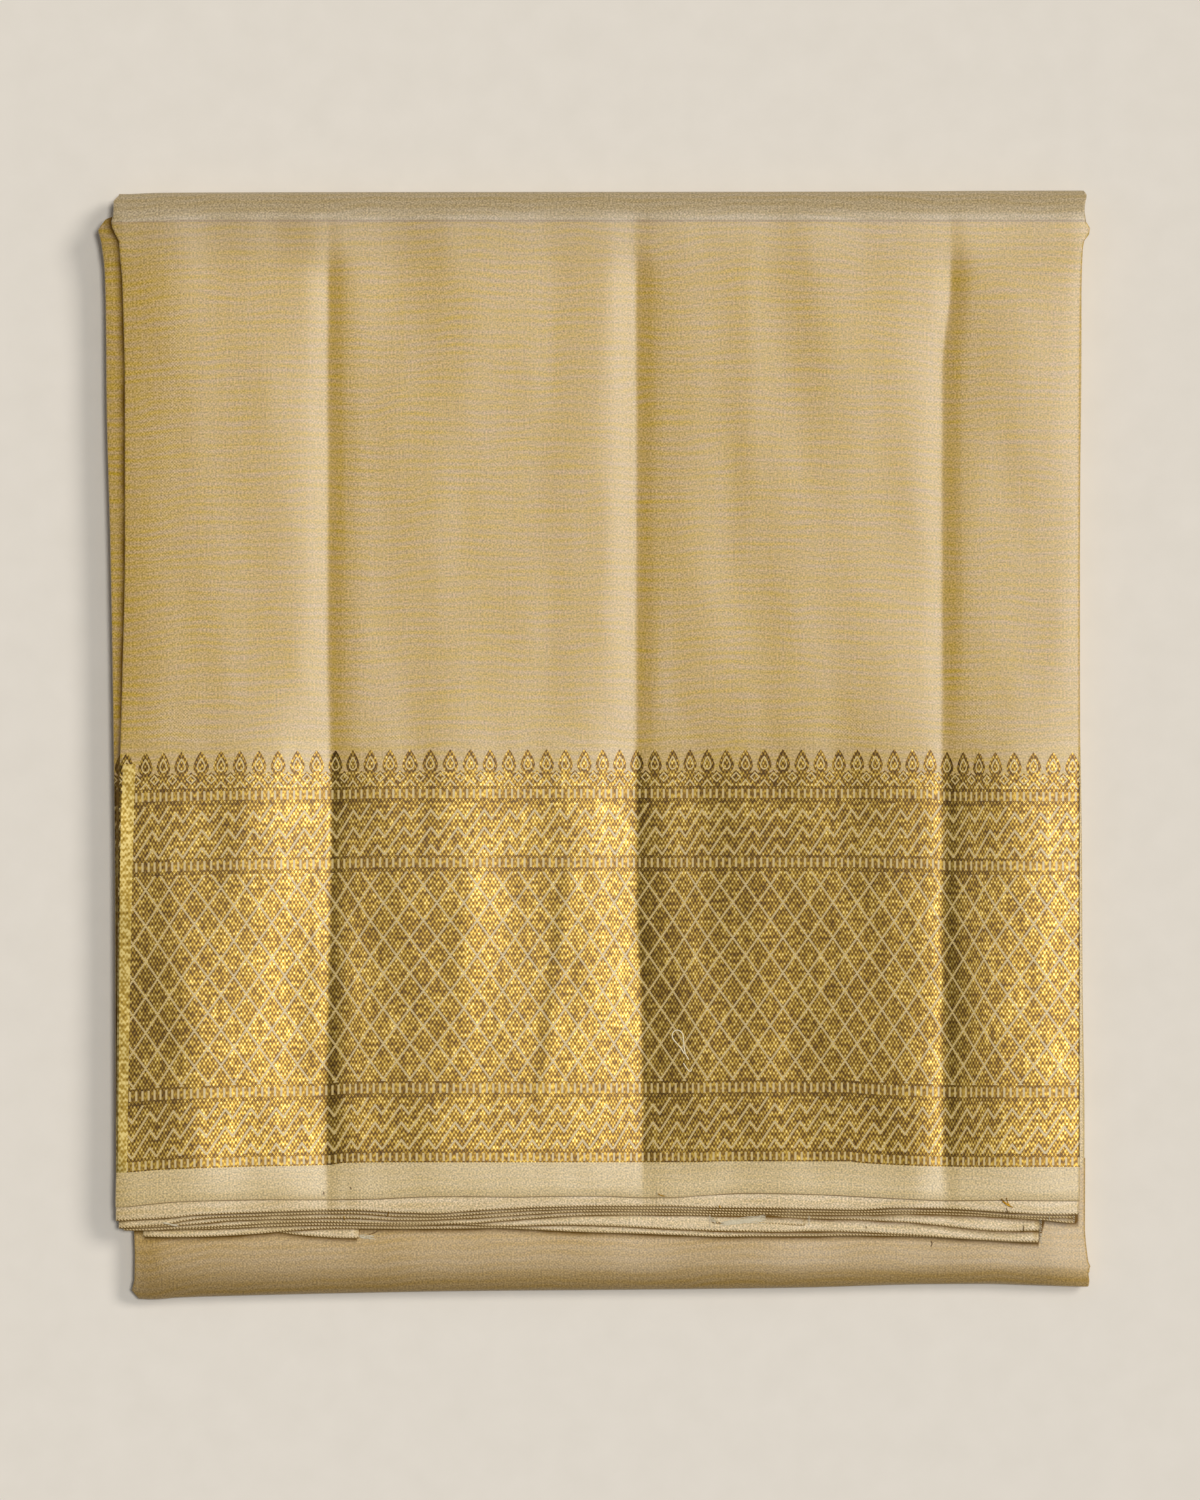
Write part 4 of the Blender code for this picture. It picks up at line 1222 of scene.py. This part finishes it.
show(core(), [inner_silk], ["hidden_layers"])

# %% [markdown]
# ## Loose threads
# A much handled cloth has a few threads astray: a loop pulled out of the border, frayed ends where the
# length was cut, and short gilt ends that stick out of the woven edges. Each is a thin round wire along a
# soft curve, laid just over the layer that it rests on.

# %% Finishes of the loose threads
TWIST = 1600                      # a thread's two shades change every half millimetre or so, as it twists
floss = mottled("silk floss, frayed pale", "#b9ae8e", "#efe8d2", TWIST, Roughness=0.45)
pulled = mottled("silk thread pulled from the border", "#efe0b4", "#fff6d8", TWIST, Roughness=0.35)
gilt_end = mottled("gilt thread end, drawn wire on silk", "#7d5511", "#e0b33f", TWIST, Roughness=0.45,
                   Metallic=1.0)
dark_end = mottled("silk thread end, soiled", "#4f3812", "#8a6a30", TWIST, Roughness=0.6)
print("threads:", floss.name, "/", pulled.name, "/", gilt_end.name, "/", dark_end.name)

# %% Laying threads on the cloth
STACK = [(FIRST_EDGE, 1.0, 224), (SECOND_EDGE, 0.8, 223), (THIRD_EDGE, 0.60, 220), (FOURTH_EDGE, 0.51, 220),
         (FIFTH_EDGE, 0.42, 205), (SIXTH_EDGE, 0.31, 204.3), (SEVENTH_EDGE, 0.20, 204)]


def rest_height(across, up):
    """How high the topmost layer is at a point, in mm."""
    for edge, share, right in STACK:
        if across < right and up > along(edge, across):
            return float(level(share, across, max(up, FACE_FOOT) if share < 1 else up))
    return float(BAND_TOP + band_wave(across, up))


def threads(name, strands, thick, finish, sheet, lift=0.28):
    """One curve object of many strands, given as (across, up) points in mm."""
    curve = bpy.data.curves.new(name, "CURVE")
    curve.dimensions, curve.bevel_depth = "3D", thick / 2 * MM
    curve.bevel_resolution, curve.resolution_u = 2, 4
    for strand in strands:
        spline = curve.splines.new("BEZIER")
        spline.bezier_points.add(len(strand) - 1)
        for k, (point, (across, up)) in enumerate(zip(spline.bezier_points, strand)):
            high = rest_height(across, up) + lift + 0.12 * math.sin(2.1 * k)
            point.co = (across * MM, up * MM, high * MM)
            point.handle_left_type = point.handle_right_type = "AUTO"
    curve.materials.append(finish)
    piece = bpy.data.objects.new(name, curve)
    bpy.context.scene.collection.objects.link(piece)
    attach(piece, "root")
    sheet["with"].append(piece)
    print(name, len(strands), "strands")


def frays(seed, count, starts, ends, wobble):
    """Wavy strands from one area to another; each area is (across, up, half width, half height)."""
    rng = np.random.default_rng(seed)
    strands = []
    for _ in range(count):
        a, b = (np.array([x + w * rng.uniform(-1, 1), y + h * rng.uniform(-1, 1)])
                for x, y, w, h in (starts, ends))
        turn = rng.uniform(0, 6)
        strands.append([tuple(a + (b - a) * t + (0, wobble * math.sin(turn + 7 * t)))
                        for t in np.linspace(0, 1, 7)])
    return strands


def fringe(seed, across, low, high, reach):
    """Short ends that stick out of a cut edge."""
    rng = np.random.default_rng(seed)
    return [[(across, y), (across + reach * rng.uniform(0.3, 0.6), y + rng.uniform(-.2, .2)),
             (across + reach * rng.uniform(0.7, 1.2), y + rng.uniform(-.5, .3))]
            for y in np.arange(low, high, 0.45)]


print("a thread on the border rests", round(rest_height(0.0, -100.0), 1), "mm up")

# %% Every loose thread in its place
threads("pulled_thread", [
    [(41.1, -141.9), (39.4, -139.1), (37.2, -136.6), (35.9, -134.9), (35.5, -133.1), (36.1, -131.8),
     (37.2, -131.0), (38.5, -131.1), (39.8, -132.0), (40.5, -133.5), (40.7, -135.7), (40.9, -138.4),
     (41.3, -140.8), (41.6, -141.9), (42.5, -143.5), (43.1, -144.6)],
    [(40.7, -146.2), (41.6, -147.7), (42.7, -149.2), (43.8, -150.0), (44.3, -148.9)]],
    0.56, pulled, laid["border"])
threads("frayed_floss", frays(3, 26, (59.5, -220.2, 2.2, 1.0), (77.6, -218.0, 1.6, 1.9), 0.35)
        + frays(4, 7, (53.5, -219.0, 0.6, 1.8), (55.2, -218.6, 0.6, 1.8), 0.1)
        + frays(5, 7, (-198.6, -219.6, 0.5, 0.3), (-192.4, -220.9, 0.6, 0.3), 0.12)
        + frays(6, 7, (-108.4, -226.0, 0.5, 0.5), (-101.6, -226.9, 0.8, 1.0), 0.4)
        + [[(-108.1, -218.2), (-107.4, -217.7)], [(209.1, -216.8), (209.2, -217.7), (209.0, -218.6)],
           [(124.5, -220.8), (125.2, -221.4)]],
    0.26, floss, stepped[2], 0.3)
threads("cut_end_fringe", fringe(7, 204.6, -228.6, -218.0, 1.2) + fringe(8, 98.2, -220.8, -216.6, 0.8)
        + fringe(9, 220.0, -219.6, -216.6, 0.9) + fringe(10, 52.6, -221.8, -216.4, 0.6),
    0.22, floss, stepped[1], 0.12)
threads("gilt_ends", [
    [(186.8, -208.6), (188.1, -209.8), (189.5, -210.9), (190.9, -212.0), (192.3, -212.5)],
    [(187.5, -209.8), (189.1, -211.1), (190.7, -212.1)],
    [(189.3, -208.2), (189.6, -209.3), (190.0, -210.5), (190.9, -211.8)],
    [(-115.6, -216.7), (-115.4, -217.7), (-115.2, -218.5)],
    [(-94.9, -214.7), (-95.3, -215.9), (-95.8, -217.0)],
    [(-120.0, -222.7), (-119.1, -222.4)],
    [(-113.3, -223.5), (-112.5, -223.4), (-111.7, -223.9)],
    [(57.2, -211.6), (57.7, -212.8)],
    [(29.0, -206.3), (30.4, -207.0), (32.1, -207.4)]],
    0.5, gilt_end, stepped[0])
threads("soiled_ends", [
    [(189.3, -212.9), (189.7, -214.1), (190.0, -215.3)],
    [(197.4, -221.2), (197.4, -222.4), (197.3, -223.6), (196.3, -223.8)],
    [(124.8, -221.3), (125.0, -222.4)],
    [(154.7, -228.2), (155.3, -229.3), (154.7, -230.9)],
    [(-124.8, -205.2), (-124.6, -206.6)],
    [(-112.4, -203.1), (-112.1, -204.2)],
    [(-104.1, -225.3), (-102.4, -224.8), (-100.7, -224.0), (-99.7, -223.2)]],
    0.45, dark_end, second)

# %% [markdown]
